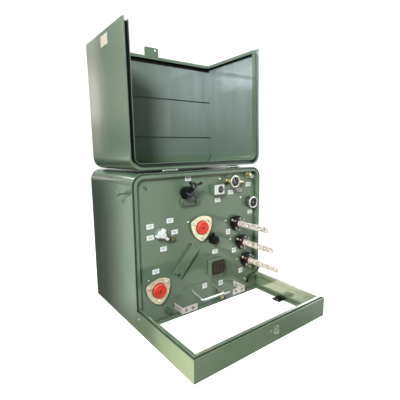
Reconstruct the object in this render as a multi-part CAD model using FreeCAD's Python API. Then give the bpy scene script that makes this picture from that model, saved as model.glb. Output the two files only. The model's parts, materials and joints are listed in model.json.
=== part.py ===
"""Single-phase pad-mounted transformer with its hood flipped open.

Units are millimetres. X runs to the right when facing the terminal compartment, Y runs from the compartment
back through the tank, Z is up. The origin is the centre of the footprint on the pad.
"""
import FreeCAD, Part
import math
import os

V = FreeCAD.Vector
X_AXIS = V(1, 0, 0)
Y_AXIS = V(0, 1, 0)
Z_AXIS = V(0, 0, 1)
OUTWARD = V(0, -1, 0)      # out of the terminal plate, towards a person at the open compartment

# ---- driving dimensions ----
TANK_W = 864.0             # overall width of tank, sill and hood (34 in)
TANK_H = 784.0
TANK_D = 556.0             # from the compartment mouth to the back
SILL_D = 484.0             # how far the low front frame reaches forward
SILL_H = 102.0
CORNER_R = 62.0            # bend radius of the top edges
SHEET = 3.0                # tank and sill plate
HOOD_SHEET = 2.5
PLATE_T = 5.0              # terminal plate
PLATE_RECESS = 17.0        # terminal plate behind the mouth of the tank

HALF_W = TANK_W / 2
FRONT_Y = -(TANK_D + SILL_D) / 2
MOUTH_Y = FRONT_Y + SILL_D
BACK_Y = MOUTH_Y + TANK_D
PLATE_Y = MOUTH_Y + PLATE_RECESS
PLATE_BACK_Y = PLATE_Y + PLATE_T

# ---- sealing lip round the compartment mouth ----
LIP_OUTER = 10.5           # from the outside of the wall to the lip
LIP_INNER = 25.0
LIP_PROUD = 5.0
LIP_SHEET = 2.5
GROOVE_DEPTH = 8.0         # depth of the groove outside the lip

# ---- sill ----
SILL_FLANGE = 33.0         # width of the flange that rests on the pad
FLANGE_T = 4.0

# ---- hood and its hinge ----
HOOD_GAP = 1.0             # between the hood's edges and the tank or sill
HOOD_FLANGE = 9.0          # return flange along the rear rim
RAIN_GROOVE_OUT = 28.0     # from the outside of the wall to the inner strip
RAIN_GROOVE_DEPTH = 28.0
BASE_FLANGE_LIFT = 8.0     # base flange above the sill's top edge
HINGE_RISE = 8.5           # hinge axis above the tank top
HINGE_AHEAD = 3.0          # hinge axis behind the mouth plane
HINGE_Y = MOUTH_Y + HINGE_AHEAD
HINGE_Z = TANK_H + HINGE_RISE
OPEN_ANGLE = 181.3         # the open hood lies back on the tank
HINGE_X = 217.0            # each hinge from the width centre
KNUCKLE_R = 6.0
PIN_R = 3.5
RUNNING = 0.06             # radial clearance of a pin or shaft that turns
LOOSE = 0.3                # radial clearance of a hole round a fixed piece

# ---- what stands on the terminal plate: (x, z) of each centre ----
HV_WELLS = [(-22.0, 467.0, 3.0), (-303.0, 177.0, 7.0)]      # x, z, turn of the clamp plate in degrees
LV_BUSHINGS = [(233.0, 458.0), (277.0, 335.0), (321.0, 212.0)]
FUSE_AT = (-124.0, 662.0)
FUSE_TILT = 20.0           # the fuse housing points up out of the tank
TRAY_X = (-152.0, -46.0)
TRAY_Z = (604.0, 637.0)
TAP_AT = (-276.0, 468.0)
TAP_LOCK_AT = (-212.0, 438.0)
KNOB_AT = (62.0, 384.0)
THERMOMETER_AT = (91.0, 671.0)
PRESSURE_AT = (190.0, 710.0)
LEVEL_AT = (364.0, 569.0)
RELIEF_AT = (329.0, 738.0)
DRAIN_AT = (112.0, 52.0)
NAMEPLATE_AT = (81.0, 219.0)
PARKING_AT = (-128.0, 297.0)
GROUND_BOSS_AT = (-245.0, 44.0)
SECURITY_BOLT_AT = (3.0, 65.0)

SPADE_PITCH = 44.45        # four-hole spade, 1.75 in pitch
SPADE_HOLE_R = 7.15
SPADE_H = 32.0
SPADE_T = 9.5
SPADE_ROOT_Y = PLATE_Y - 68.0
SPADE_FIRST_HOLE_Y = MOUTH_Y - 104.0
SPADE_TIP_Y = SPADE_FIRST_HOLE_Y - 3 * SPADE_PITCH - 16.0


# ---- small building blocks ----

def block(x0, x1, y0, y1, z0, z1):
    """Box between two corners."""
    return Part.makeBox(x1 - x0, y1 - y0, z1 - z0, V(x0, y0, z0))


def rod(start, end, radius):
    """Cylinder from one point to another."""
    along = end - start
    return Part.makeCylinder(radius, along.Length, start, along)


def fuse(pieces):
    """One solid from overlapping or touching ones."""
    return pieces[0].multiFuse(pieces[1:]).removeSplitter()


def group(pieces):
    """Separate solids in one node."""
    return Part.makeCompound(pieces)


def stack(x, z, steps, start=PLATE_Y):
    """Turned piece standing out of the terminal plate: steps are (radius, length), plate outward."""
    made = []
    y = start
    for radius, length in steps:
        made.append(Part.makeCylinder(radius, length, V(x, y, z), OUTWARD))
        y -= length
    return fuse(made) if len(made) > 1 else made[0]


def hole(x, z, radius, y_from=PLATE_BACK_Y + 5, y_to=PLATE_Y - 5):
    """Cutting cylinder along Y."""
    return Part.makeCylinder(radius, y_from - y_to, V(x, y_from, z), OUTWARD)


def hexagon(x, z, across_flats, y_from, length):
    """Hexagonal prism standing outward from y_from."""
    corner_r = across_flats / math.sqrt(3)
    points = []
    for i in range(7):
        a = math.radians(60 * i)
        points.append(V(x + corner_r * math.cos(a), y_from, z + corner_r * math.sin(a)))
    return Part.Face(Part.makePolygon(points)).extrude(V(0, -length, 0))


def pipe(points, radius, bend_r):
    """Round bar through a list of points, with a smooth bend at each corner."""
    edges = []
    start = points[0]
    for before, corner, after in zip(points, points[1:], points[2:]):
        back = (before - corner).normalize()
        on = (after - corner).normalize()
        half = back.getAngle(on) / 2
        middle = (back + on).normalize()
        leave = corner + back * (bend_r / math.tan(half))
        rejoin = corner + on * (bend_r / math.tan(half))
        crown = corner + middle * (bend_r / math.sin(half) - bend_r)
        edges.append(Part.makeLine(start, leave))
        edges.append(Part.Arc(leave, crown, rejoin).toShape())
        start = rejoin
    edges.append(Part.makeLine(start, points[-1]))
    profile = Part.Wire([Part.makeCircle(radius, points[0], points[1] - points[0])])
    return Part.Wire(edges).makePipeShell([profile], True, True)


def arch(inset, low_z, y0, y1):
    """Tank outline seen from the front, shrunk by inset, with two round top corners, from y0 to y1."""
    half = HALF_W - inset
    top = TANK_H - inset
    r = CORNER_R - inset
    k = r * (1 - math.sqrt(0.5))
    edges = [
        Part.makeLine(V(-half, y0, low_z), V(-half, y0, top - r)),
        Part.Arc(V(-half, y0, top - r), V(-half + k, y0, top - k), V(-half + r, y0, top)).toShape(),
        Part.makeLine(V(-half + r, y0, top), V(half - r, y0, top)),
        Part.Arc(V(half - r, y0, top), V(half - k, y0, top - k), V(half, y0, top - r)).toShape(),
        Part.makeLine(V(half, y0, top - r), V(half, y0, low_z)),
        Part.makeLine(V(half, y0, low_z), V(-half, y0, low_z)),
    ]
    return Part.Face(Part.Wire(edges)).extrude(V(0, y1 - y0, 0))


def arch_band(outer, inner, low_z, y0, y1):
    """Strip that follows the arch between two insets, open at the bottom."""
    return arch(outer, low_z, y0, y1).cut(arch(inner, low_z - 1, y0 - 1, y1 + 1))


def sill_band(outer, inner, z0, z1, rear_y):
    """Strip that follows the three sides of the sill between two insets, open at the rear."""
    out = block(-HALF_W + outer, HALF_W - outer, FRONT_Y + outer, rear_y, z0, z1)
    core = block(-HALF_W + inner, HALF_W - inner, FRONT_Y + inner, rear_y + 1, z0 - 1, z1 + 1)
    return out.cut(core)


def opened(shape):
    """Carries a hood piece from its closed place to the open one."""
    moved = shape.copy()
    moved.rotate(V(0, HINGE_Y, HINGE_Z), X_AXIS, -OPEN_ANGLE)
    return moved


# ---- tank ----

def tank_wrap():
    """Left wall, top and right wall bent from one sheet."""
    return arch_band(0, SHEET, 0, MOUTH_Y, BACK_Y)


def tank_back_panel():
    """Back panel, set inside the wrap."""
    return arch(SHEET, 0, BACK_Y - SHEET, BACK_Y)


def tank_floor():
    """Floor plate the core stands on."""
    return block(-HALF_W + SHEET, HALF_W - SHEET, PLATE_BACK_Y, BACK_Y - SHEET, 0, 5)


def front_plate():
    """Recessed terminal plate with a hole for everything that passes through it."""
    plate = arch(SHEET, 0, PLATE_Y, PLATE_BACK_Y)
    cuts = [hole(x, z, 36 + LOOSE) for x, z, _ in HV_WELLS]
    cuts += [hole(x, z, 20 + LOOSE) for x, z in LV_BUSHINGS]
    cuts += [hole(*TAP_AT, 8), hole(*KNOB_AT, 8)]
    cuts += [hole(*LEVEL_AT, 14 + LOOSE), hole(*PRESSURE_AT, 8 + LOOSE), hole(*RELIEF_AT, 8 + LOOSE)]
    cuts += [hole(*DRAIN_AT, 9 + LOOSE), hole(*THERMOMETER_AT, 7 + LOOSE)]
    cuts.append(rod(fuse_point(-90), fuse_point(40), FUSE_TUBE_R + LOOSE))
    return plate.cut(cuts)


def front_lip_frame():
    """Raised lip round the tank mouth and along the sill's top: a folded channel, grooved outside."""
    face_y = MOUTH_Y - LIP_PROUD
    groove_y = MOUTH_Y + GROOVE_DEPTH
    foot_z = SILL_H - GROOVE_DEPTH
    top_z = SILL_H + LIP_PROUD
    web = LIP_OUTER + LIP_SHEET
    tank = [
        arch_band(LIP_OUTER, LIP_INNER, foot_z, face_y, face_y + LIP_SHEET),
        arch_band(LIP_OUTER, web, foot_z, face_y, groove_y),
        arch_band(SHEET, web, foot_z, groove_y - LIP_SHEET, groove_y),
        arch_band(LIP_INNER - LIP_SHEET, LIP_INNER, foot_z, face_y, PLATE_Y),
    ]
    sill = [
        sill_band(LIP_OUTER, LIP_INNER, top_z - LIP_SHEET, top_z, groove_y),
        sill_band(LIP_OUTER, web, foot_z, top_z, groove_y),
        sill_band(SHEET, web, foot_z, foot_z + LIP_SHEET, MOUTH_Y),
        sill_band(LIP_INNER - LIP_SHEET, LIP_INNER, SILL_H - 16, top_z, groove_y),
    ]
    return fuse(tank + sill)


def sill_frame():
    """Low three-sided front frame with a flange that rests on the pad, plus the flange under the plate."""
    walls = sill_band(0, SHEET, 0, SILL_H, MOUTH_Y)
    flange = sill_band(0, SILL_FLANGE, 0, FLANGE_T, MOUTH_Y)
    rear = block(-HALF_W + SHEET, HALF_W - SHEET, PLATE_Y - SILL_FLANGE, PLATE_Y, 0, FLANGE_T)
    x, z = SECURITY_BOLT_AT
    bore = hole(x, z, 4 + RUNNING, FRONT_Y + 14, FRONT_Y - 1)
    boss = Part.makeCylinder(9, 8, V(x, FRONT_Y + SHEET + 8, z), OUTWARD)
    return fuse([walls, flange, rear, boss]).cut(bore)


CLEAT_X = 371.0            # anchor hole of each tie-down cleat from the width centre
CLEAT_Y = MOUTH_Y - 216.0
CLEAT_HOLE_R = 8.0


def tie_down_cleats():
    """Two steel tabs on the sill flange that anchor the unit to the pad."""
    made = []
    for side in (-1, 1):
        tab = fuse([block(-16, 47, -26, 26, 0, 6), block(14, 28, -18, 18, 0, 14)])
        tab.translate(V(0, CLEAT_Y, FLANGE_T))
        if side < 0:
            tab = tab.mirror(V(0, 0, 0), X_AXIS)
        tab.translate(V(side * CLEAT_X, 0, 0))
        bore = Part.makeCylinder(CLEAT_HOLE_R, 30, V(side * CLEAT_X, CLEAT_Y, -1))
        made.append(tab.cut(bore))
    return group(made)


LUG_FROM_END = 40.0
LUG_Z = 697.0


def lifting_lugs():
    """Two headed lifting studs, diagonally opposite: left wall near the mouth, right wall near the back."""
    made = []
    for side, y in ((-1, MOUTH_Y + LUG_FROM_END), (1, BACK_Y - LUG_FROM_END)):
        out = V(side, 0, 0)
        root = V(side * HALF_W, y, LUG_Z)
        collar = Part.makeCylinder(16, 6, root, out)
        shank = Part.makeCylinder(9, 60, root, out)
        head = Part.makeCylinder(15, 7, root + out * 53, out)
        made.append(fuse([collar, shank, head]))
    return group(made)


# ---- hinges ----
# Each hinge has five knuckles along X: tank, hood, tank, hood, tank.
KNUCKLE_L = 14.0
KNUCKLE_STEP = 14.4
LEAF_T = 3.0
LEAF_REACH = 30.0
LEAF_CLEAR = 9.0           # leaf strip starts this far from the axis, clear of the other side's knuckles


def hinge_leaf(centre_x, places, direction):
    """Leaf plate and its knuckles, on a sheet below the axis; direction is the side it reaches to."""
    half = 2.5 * KNUCKLE_STEP
    low = HINGE_Z - HINGE_RISE

    def span(a, b):
        return sorted((HINGE_Y + direction * a, HINGE_Y + direction * b))

    y0, y1 = span(LEAF_CLEAR, LEAF_REACH)
    pieces = [block(centre_x - half, centre_x + half, y0, y1, low, low + LEAF_T)]
    f0, f1 = span(HINGE_AHEAD + HOOD_GAP + 0.5, LEAF_CLEAR + 1)
    for place in places:
        x = centre_x + place * KNUCKLE_STEP
        x0 = x - KNUCKLE_L / 2
        tube = Part.makeCylinder(KNUCKLE_R, KNUCKLE_L, V(x0, HINGE_Y, HINGE_Z), X_AXIS)
        pieces += [tube, block(x0, x0 + KNUCKLE_L, f0, f1, low, HINGE_Z - 2)]
    leaf = fuse(pieces)
    bore = Part.makeCylinder(PIN_R + RUNNING, 4 * half, V(centre_x - 2 * half, HINGE_Y, HINGE_Z), X_AXIS)
    return leaf.cut(bore)


def tank_hinge_leaves():
    """Hinge halves welded on the tank top."""
    return group([hinge_leaf(side * HINGE_X, (-2, 0, 2), 1) for side in (-1, 1)])


def hood_hinge_leaves():
    """Hinge halves welded on the hood top, built with the hood closed."""
    return group([opened(hinge_leaf(side * HINGE_X, (-1, 1), -1)) for side in (-1, 1)])


def hinge_pins():
    """Pins with a domed head at one end."""
    made = []
    for side in (-1, 1):
        start = V(side * HINGE_X - 3 * KNUCKLE_STEP, HINGE_Y, HINGE_Z)
        end = V(side * HINGE_X + 2.8 * KNUCKLE_STEP, HINGE_Y, HINGE_Z)
        made.append(fuse([rod(start, end, PIN_R), Part.makeSphere(PIN_R + 1.2, end)]))
    return group(made)


# ---- hood, built closed and then opened ----

HOOD_REAR_Y = MOUTH_Y - HOOD_GAP
HOOD_LOW_Z = SILL_H + HOOD_GAP
BASE_FLANGE_W = 28.0
BASE_RETURN_H = 18.0       # return lip along the base flange's inner edge


def hood_wrap():
    """Left wall, top and right wall of the hood, with a narrow return flange at the rear rim."""
    skin = arch_band(0, HOOD_SHEET, HOOD_LOW_Z, FRONT_Y, HOOD_REAR_Y)
    rim = arch_band(0, HOOD_FLANGE, HOOD_LOW_Z, HOOD_REAR_Y - HOOD_SHEET, HOOD_REAR_Y)
    return opened(fuse([skin, rim]))


def hood_front_panel():
    """Flat front panel of the hood, inside the wrap."""
    return opened(arch(HOOD_SHEET, HOOD_LOW_Z, FRONT_Y, FRONT_Y + HOOD_SHEET))


def hood_rim_lip():
    """Inner strip along the rear rim that forms the rain groove over the tank's lip."""
    low = SILL_H + BASE_FLANGE_LIFT + HOOD_SHEET
    back = HOOD_REAR_Y - RAIN_GROOVE_DEPTH
    strip = arch_band(RAIN_GROOVE_OUT, RAIN_GROOVE_OUT + HOOD_SHEET, low, back, HOOD_REAR_Y)
    web = arch_band(HOOD_SHEET, RAIN_GROOVE_OUT + HOOD_SHEET, low, back, back + HOOD_SHEET)
    return opened(fuse([strip, web]))


def hood_base_flange():
    """Turned-in flange round the hood's lower edge that closes over the sill, with its return lip."""
    z0 = SILL_H + BASE_FLANGE_LIFT
    rear = HOOD_REAR_Y - RAIN_GROOVE_DEPTH
    out = block(-HALF_W + HOOD_SHEET, HALF_W - HOOD_SHEET, FRONT_Y + HOOD_SHEET, rear, z0, z0 + HOOD_SHEET)
    inner = HALF_W - BASE_FLANGE_W
    gap = block(-inner, inner, FRONT_Y + BASE_FLANGE_W, rear + 1, z0 - 1, z0 + HOOD_SHEET + 1)
    lip = sill_band(BASE_FLANGE_W - HOOD_SHEET, BASE_FLANGE_W, z0, z0 + BASE_RETURN_H, rear)
    return opened(fuse([out.cut(gap), lip]))


RIB_HEIGHTS = (345.0, 590.0)     # above the pad with the hood closed
RIB_H = 16.0
RIB_PROUD = 5.0


def hood_ribs():
    """Two flat stiffening ribs across the inside of the front panel."""
    y0 = FRONT_Y + HOOD_SHEET
    half = HALF_W - HOOD_SHEET - 6
    made = []
    for z in RIB_HEIGHTS:
        made.append(opened(block(-half, half, y0, y0 + RIB_PROUD, z - RIB_H / 2, z + RIB_H / 2)))
    return group(made)


HASP_SLOT_R = 6.0
HASP_SLOT_DROP = 3.5       # extra length downward, so that the tab passes the bolt head as it swings in


def hood_hasp():
    """Hasp tab that hangs from the hood's front panel over the sill, with a slot for the security bolt."""
    x, z = SECURITY_BOLT_AT
    t = 4.0
    x0, x1 = x - 74, x + 22
    low, high = z - 16, HOOD_LOW_Z + 26
    tab = block(x0, x1, FRONT_Y - t, FRONT_Y, low, high)
    upright = [e for e in tab.Edges if abs(e.Vertexes[0].X - e.Vertexes[1].X) < 0.01
               and abs(e.Vertexes[0].Z - e.Vertexes[1].Z) < 0.01 and e.Vertexes[0].Z < z]
    tab = tab.makeFillet(8, upright)
    near, far = FRONT_Y - t - 1, FRONT_Y + 1
    slot = [hole(x, z - drop, HASP_SLOT_R, far, near) for drop in (0, HASP_SLOT_DROP)]
    slot.append(block(x - HASP_SLOT_R, x + HASP_SLOT_R, near, far, z - HASP_SLOT_DROP, z))
    return opened(tab.cut(slot))


def latch_fitting():
    """Padlock staple welded on the sill beside the hasp, with two flush rivets."""
    x, z = SECURITY_BOLT_AT
    base = block(x + 28, x + 58, FRONT_Y - 2, FRONT_Y, z - 26, z + 10)
    ring = [V(x + 36, FRONT_Y - 2, z - 2), V(x + 36, FRONT_Y - 18, z - 2),
            V(x + 36, FRONT_Y - 18, z - 22), V(x + 36, FRONT_Y - 2, z - 22)]
    staple = pipe(ring, 3, 5)
    rivets = [Part.makeCylinder(3.5, 4, V(x + 52, FRONT_Y, z + dz), OUTWARD) for dz in (4, -20)]
    return fuse([base, staple] + rivets)


BOLT_HEAD_R = 5.0


def security_bolt():
    """Five-sided-head bolt in the sill's threaded boss."""
    x, z = SECURITY_BOLT_AT
    points = []
    for i in range(6):
        a = math.radians(72 * i + 90)
        points.append(V(x + BOLT_HEAD_R * math.cos(a), FRONT_Y - 0.4, z + BOLT_HEAD_R * math.sin(a)))
    head = Part.Face(Part.makePolygon(points)).extrude(V(0, -4.6, 0))
    shank = Part.makeCylinder(4, 14, V(x, FRONT_Y + 13.6, z), OUTWARD)
    return fuse([head, shank])


# ---- high-voltage side ----

CLAMP_STAND = 13.0         # clamp plate's rear face ahead of the terminal plate
CLAMP_T = 5.0


def clamp_plate(x, z, turn, size, hole_r, bolt_r):
    """Rounded-triangle clamp plate. size scales the outline; bolts sit at bolt_r from the centre."""
    side_r = 115.0 * size
    middle = 64.0 * size
    y = PLATE_Y - CLAMP_STAND
    outline = None
    for i in range(3):
        a = math.radians(90 + turn + 120 * i)
        away = -(side_r - middle)
        centre = V(x + away * math.cos(a), y, z + away * math.sin(a))
        disc = Part.makeCylinder(side_r, CLAMP_T, centre, OUTWARD)
        outline = disc if outline is None else outline.common(disc)
    corners = [e for e in outline.Edges if isinstance(e.Curve, Part.Line)]
    outline = outline.makeFillet(18 * size, corners)
    cuts = [hole(x, z, hole_r, y + 1, y - CLAMP_T - 1)]
    for bx, bz in bolt_places(x, z, turn, bolt_r):
        cuts.append(hole(bx, bz, STUD_R + LOOSE, y + 1, y - CLAMP_T - 1))
    return outline.cut(cuts)


def bolt_places(x, z, turn, bolt_r):
    """Three bolt centres, one in each corner of the clamp plate."""
    places = []
    for angle in (150, 30, 270):
        a = math.radians(angle + turn)
        places.append((x + bolt_r * math.cos(a), z + bolt_r * math.sin(a)))
    return places


STUD_R = 4.0
NUT_FLATS = 13.0


def clamp_stud(x, z, length):
    """Stud welded on the terminal plate with a washer and nut on the clamp plate."""
    nut_y = PLATE_Y - CLAMP_STAND - CLAMP_T
    shank = Part.makeCylinder(STUD_R, length, V(x, PLATE_Y, z), OUTWARD)
    washer = Part.makeCylinder(NUT_FLATS * 0.62, 1.5, V(x, nut_y, z), OUTWARD)
    return fuse([shank, washer, hexagon(x, z, NUT_FLATS, nut_y - 1.5, STUD_R * 1.6)])


CAP_R = 37.0
HV_BOLT_R = 60.0
LV_BOLT_R = 37.0
LV_SIZE = 0.66


def hv_clamp_plates():
    """Clamp plates of the two bushing wells."""
    return group([clamp_plate(x, z, turn, 1.0, CAP_R + 2, HV_BOLT_R) for x, z, turn in HV_WELLS])


def clamp_studs():
    """Three studs with nuts on each clamp plate, longer on the low-voltage side."""
    made = []
    for x, z, turn in HV_WELLS:
        made += [clamp_stud(bx, bz, 28) for bx, bz in bolt_places(x, z, turn, HV_BOLT_R)]
    for x, z in LV_BUSHINGS:
        made += [clamp_stud(bx, bz, 50) for bx, bz in bolt_places(x, z, 0, LV_BOLT_R)]
    return group(made)


WELL_FACE = 20.0           # the well's rim ahead of the terminal plate
WELL_BORE_R = 24.0
WELL_INNER_Y = 56.0


def hv_bushing_wells():
    """Moulded wells: a flange under the clamp plate, a socket in front, a tapered body in the tank."""
    made = []
    for x, z, _ in HV_WELLS:
        front = stack(x, z, [(48, CLAMP_STAND), (CAP_R, WELL_FACE - CLAMP_STAND)])
        body = Part.makeCylinder(36, 40, V(x, PLATE_Y + 40, z), OUTWARD)
        tail = Part.makeCone(34, 14, WELL_INNER_Y - PLATE_Y - 40, V(x, PLATE_Y + 40, z), Y_AXIS)
        socket = hole(x, z, WELL_BORE_R, PLATE_Y + 24, PLATE_Y - WELL_FACE - 1)
        made.append(fuse([front, body, tail]).cut(socket))
    return group(made)


def hv_cap(index):
    """Pull-off protective cap: a domed disc over the well's rim with a plug in the socket."""
    x, z, _ = HV_WELLS[index]
    y = PLATE_Y - WELL_FACE - 0.2
    disc = Part.makeCylinder(CAP_R, 14, V(x, y, z), OUTWARD)
    rim = [e for e in disc.Edges if isinstance(e.Curve, Part.Circle) and e.Vertexes[0].Y < y - 5]
    disc = disc.makeFillet(5, rim)
    plug = Part.makeCylinder(WELL_BORE_R - 0.5, 24, V(x, y + 24, z), OUTWARD)
    dimple = hole(x, z, 5, y - 3, y - 15)
    return fuse([disc, plug]).cut(dimple)


def hv_cap_upper():
    return hv_cap(0)


def hv_cap_lower():
    return hv_cap(1)


# ---- draw-out fuse ----

FUSE_TUBE_R = 21.0
FUSE_COLLAR_R = 33.0
FUSE_INSIDE = 170.0
FUSE_COLLAR = (14.0, 40.0)       # collar from and to, measured along the axis from the plate
FUSE_MOUTH = 44.0


def fuse_axis():
    """Unit vector out of the tank along the fuse."""
    t = math.radians(FUSE_TILT)
    return V(0, -math.cos(t), math.sin(t))


def fuse_point(distance):
    """Point on the fuse axis, measured outward from the terminal plate."""
    x, z = FUSE_AT
    return V(x, PLATE_Y, z) + fuse_axis() * distance


def fuse_housing():
    """Tube through the plate with a wide moulded collar outside."""
    tube = rod(fuse_point(-FUSE_INSIDE), fuse_point(FUSE_MOUTH), FUSE_TUBE_R)
    collar = rod(fuse_point(FUSE_COLLAR[0]), fuse_point(FUSE_COLLAR[1]), FUSE_COLLAR_R)
    edge = rod(fuse_point(FUSE_COLLAR[1] - 6), fuse_point(FUSE_COLLAR[1] + 2), FUSE_COLLAR_R - 5)
    bore = rod(fuse_point(-FUSE_INSIDE + 10), fuse_point(FUSE_MOUTH + 1), FUSE_TUBE_R - 4)
    return fuse([tube, collar, edge]).cut(bore)


EYE_R = 19.0
EYE_HOLE_R = 9.5
EYE_T = 12.0
EYE_AHEAD = 40.0           # pull eye ahead of the housing's mouth, along the axis
EYE_RISE = 22.0            # and above the axis


def fuse_holder():
    """Draw-out holder: stem, cap, and a pull eye on an arm, with a long side peg and a short boss."""
    out = fuse_axis()
    rise = out.cross(X_AXIS)
    if rise.z < 0:
        rise = rise * -1
    stem = rod(fuse_point(-FUSE_INSIDE + 14), fuse_point(FUSE_MOUTH + 2), FUSE_TUBE_R - 4 - RUNNING)
    cap = rod(fuse_point(FUSE_MOUTH + 0.5), fuse_point(FUSE_MOUTH + 8), 24)
    eye_at = fuse_point(FUSE_MOUTH + EYE_AHEAD) + rise * EYE_RISE + X_AXIS * 11
    arm = rod(fuse_point(FUSE_MOUTH + 6), eye_at - out * EYE_T / 2 - rise * (EYE_R - 5), 9)
    eye = rod(eye_at - out * EYE_T / 2, eye_at + out * EYE_T / 2, EYE_R)
    eye = eye.cut(rod(eye_at - out * EYE_T, eye_at + out * EYE_T, EYE_HOLE_R))
    peg_tip = eye_at + X_AXIS * 49 + rise * 10
    peg = rod(eye_at + X_AXIS * 16 + rise * 3, peg_tip, 6)
    knob = Part.makeSphere(8, peg_tip)
    boss = rod(eye_at + rise * 12 - X_AXIS * 12, eye_at + rise * 21 - X_AXIS * 20, 7)
    return fuse([stem, cap, arm, eye, peg, knob, boss])


def drip_tray():
    """Bent tray under the fuse that catches drips."""
    x0, x1 = TRAY_X
    z0, z1 = TRAY_Z
    depth = 22.0
    t = 2.0
    y1 = PLATE_Y
    y0 = PLATE_Y - depth
    back = block(x0, x1, y1 - t, y1, z0, z1)
    floor = block(x0, x1, y0, y1, z0, z0 + t)
    cheeks = [block(x0, x0 + t, y0, y1, z0, z1), block(x1 - t, x1, y0, y1, z0, z1)]
    return fuse([back, floor] + cheeks)


# ---- low-voltage side ----

LV_FACE = 50.0
LV_INNER_Y = 46.0
LV_STEM_R = 11.0


def lv_insulators():
    """Three moulded insulators, stepped outside and plain inside the tank."""
    steps = [(31, CLAMP_STAND), (25, 12), (21, 9), (24, 5), (18, LV_FACE - CLAMP_STAND - 26)]
    made = []
    for x, z in LV_BUSHINGS:
        outside = stack(x, z, steps)
        inside = Part.makeCylinder(20, LV_INNER_Y - PLATE_Y, V(x, LV_INNER_Y, z), OUTWARD)
        bore = hole(x, z, LV_STEM_R + LOOSE, LV_INNER_Y + 1, PLATE_Y - LV_FACE - 1)
        made.append(fuse([outside, inside]).cut(bore))
    return group(made)


def lv_clamp_plates():
    """Clamp plates of the low-voltage bushings."""
    return group([clamp_plate(x, z, 0, LV_SIZE, 26, LV_BOLT_R) for x, z in LV_BUSHINGS])


def lv_spades():
    """Three tinned terminals: a stem through the insulator and an upright spade with four holes."""
    made = []
    for x, z in LV_BUSHINGS:
        stem = Part.makeCylinder(LV_STEM_R, LV_INNER_Y - SPADE_ROOT_Y + 14, V(x, LV_INNER_Y, z), OUTWARD)
        nut = hexagon(x, z, 34, PLATE_Y - LV_FACE - 0.2, 9)
        half_t, half_h = SPADE_T / 2, SPADE_H / 2
        bar = block(x - half_t, x + half_t, SPADE_TIP_Y, SPADE_ROOT_Y, z - half_h, z + half_h)
        ends = [e for e in bar.Edges if abs(e.Vertexes[0].Y - SPADE_TIP_Y) < 0.01
                and abs(e.Vertexes[1].Y - SPADE_TIP_Y) < 0.01
                and abs(e.Vertexes[0].X - e.Vertexes[1].X) > 1]
        bar = bar.makeFillet(6, ends)
        cuts = []
        for i in range(4):
            at = V(x - 10, SPADE_FIRST_HOLE_Y - i * SPADE_PITCH, z)
            cuts.append(Part.makeCylinder(SPADE_HOLE_R, 20, at, X_AXIS))
        made.append(fuse([stem, nut, bar]).cut(cuts))
    return group(made)


# ---- gauges ----
# Each gauge is (x, z, case radius, case front ahead of the plate, dial radius).
GAUGES = {
    "pressure": (*PRESSURE_AT, 34.0, 58.0, 28.0),
    "level": (*LEVEL_AT, 35.0, 34.0, 29.5),
    "thermometer": (THERMOMETER_AT[0] + 9, THERMOMETER_AT[1], 19.0, 36.0, 17.0),
}
TEE_TILT = 7.0             # degrees, right end lower
# Turned steps of the pressure gauge's tee: from and to along it from the gauge's centre, then radius.
TEE_STEPS = [(-44, 72, 7), (-48, -38, 10), (60, 82, 10), (82, 98, 6)]
DIAL_DEPTH = 8.0
DIAL_T = 1.0
LENS_T = 2.0


def gauge_recess(name):
    """Cutting cylinder for a gauge's dial well."""
    x, z, _, front, dial_r = GAUGES[name]
    return hole(x, z, dial_r, PLATE_Y - front + DIAL_DEPTH, PLATE_Y - front - 1)


def pressure_gauge():
    """Round gauge on a slightly tilted brass tee: a plug on its left, a bleed fitting on its right."""
    x, z, case_r, front, _ = GAUGES["pressure"]
    case = Part.makeCylinder(case_r, 22, V(x, PLATE_Y - front + 22, z), OUTWARD)
    back = Part.makeCylinder(case_r - 5, 6, V(x, PLATE_Y - front + 27, z), OUTWARD)
    neck = Part.makeCylinder(7, front - 20, V(x, PLATE_Y, z), OUTWARD)
    stub = Part.makeCylinder(8, 30, V(x, PLATE_Y + 25, z), OUTWARD)
    base = hexagon(x, z, 28, PLATE_Y, 9)
    centre = V(x, PLATE_Y - 19, z)
    along = V(math.cos(math.radians(TEE_TILT)), 0, -math.sin(math.radians(TEE_TILT)))
    tee = [rod(centre + along * start, centre + along * end, radius) for start, end, radius in TEE_STEPS]
    return fuse([case, back, neck, stub, base] + tee).cut(gauge_recess("pressure"))


def level_gauge():
    """Round magnetic liquid-level gauge on its flange."""
    x, z, case_r, front, _ = GAUGES["level"]
    flange = Part.makeCylinder(case_r - 4, 8, V(x, PLATE_Y, z), OUTWARD)
    case = Part.makeCylinder(case_r, front - 8, V(x, PLATE_Y - 8, z), OUTWARD)
    inner = Part.makeCylinder(14, 60, V(x, PLATE_Y + 55, z), OUTWARD)
    return fuse([flange, case, inner]).cut(gauge_recess("level"))


def thermometer():
    """Square-faced temperature gauge with its sensing stem in the tank."""
    x, z = THERMOMETER_AT
    front = GAUGES["thermometer"][3]
    bracket = block(x - 48, x + 36, PLATE_Y - 3, PLATE_Y, z - 30, z + 30)
    case = block(x - 34, x + 34, PLATE_Y - front, PLATE_Y - 3, z - 27, z + 27)
    stem = Part.makeCylinder(7, 90, V(x, PLATE_Y + 85, z), OUTWARD)
    return fuse([bracket, case, stem]).cut(gauge_recess("thermometer"))


def gauge_dials():
    """Dial discs of the three gauges, each with a small hole for the needle's pin."""
    made = []
    for x, z, _, front, dial_r in GAUGES.values():
        y = PLATE_Y - front + DIAL_DEPTH
        disc = Part.makeCylinder(dial_r - 0.2, DIAL_T, V(x, y, z), OUTWARD)
        made.append(disc.cut(hole(x, z, 1.0 + RUNNING, y + 1, y - 3)))
    return group(made)


def gauge_lenses():
    """Clear discs over the three dials."""
    made = []
    for x, z, _, front, dial_r in GAUGES.values():
        made.append(Part.makeCylinder(dial_r - 0.2, LENS_T, V(x, PLATE_Y - front + LENS_T, z), OUTWARD))
    return group(made)


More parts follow.
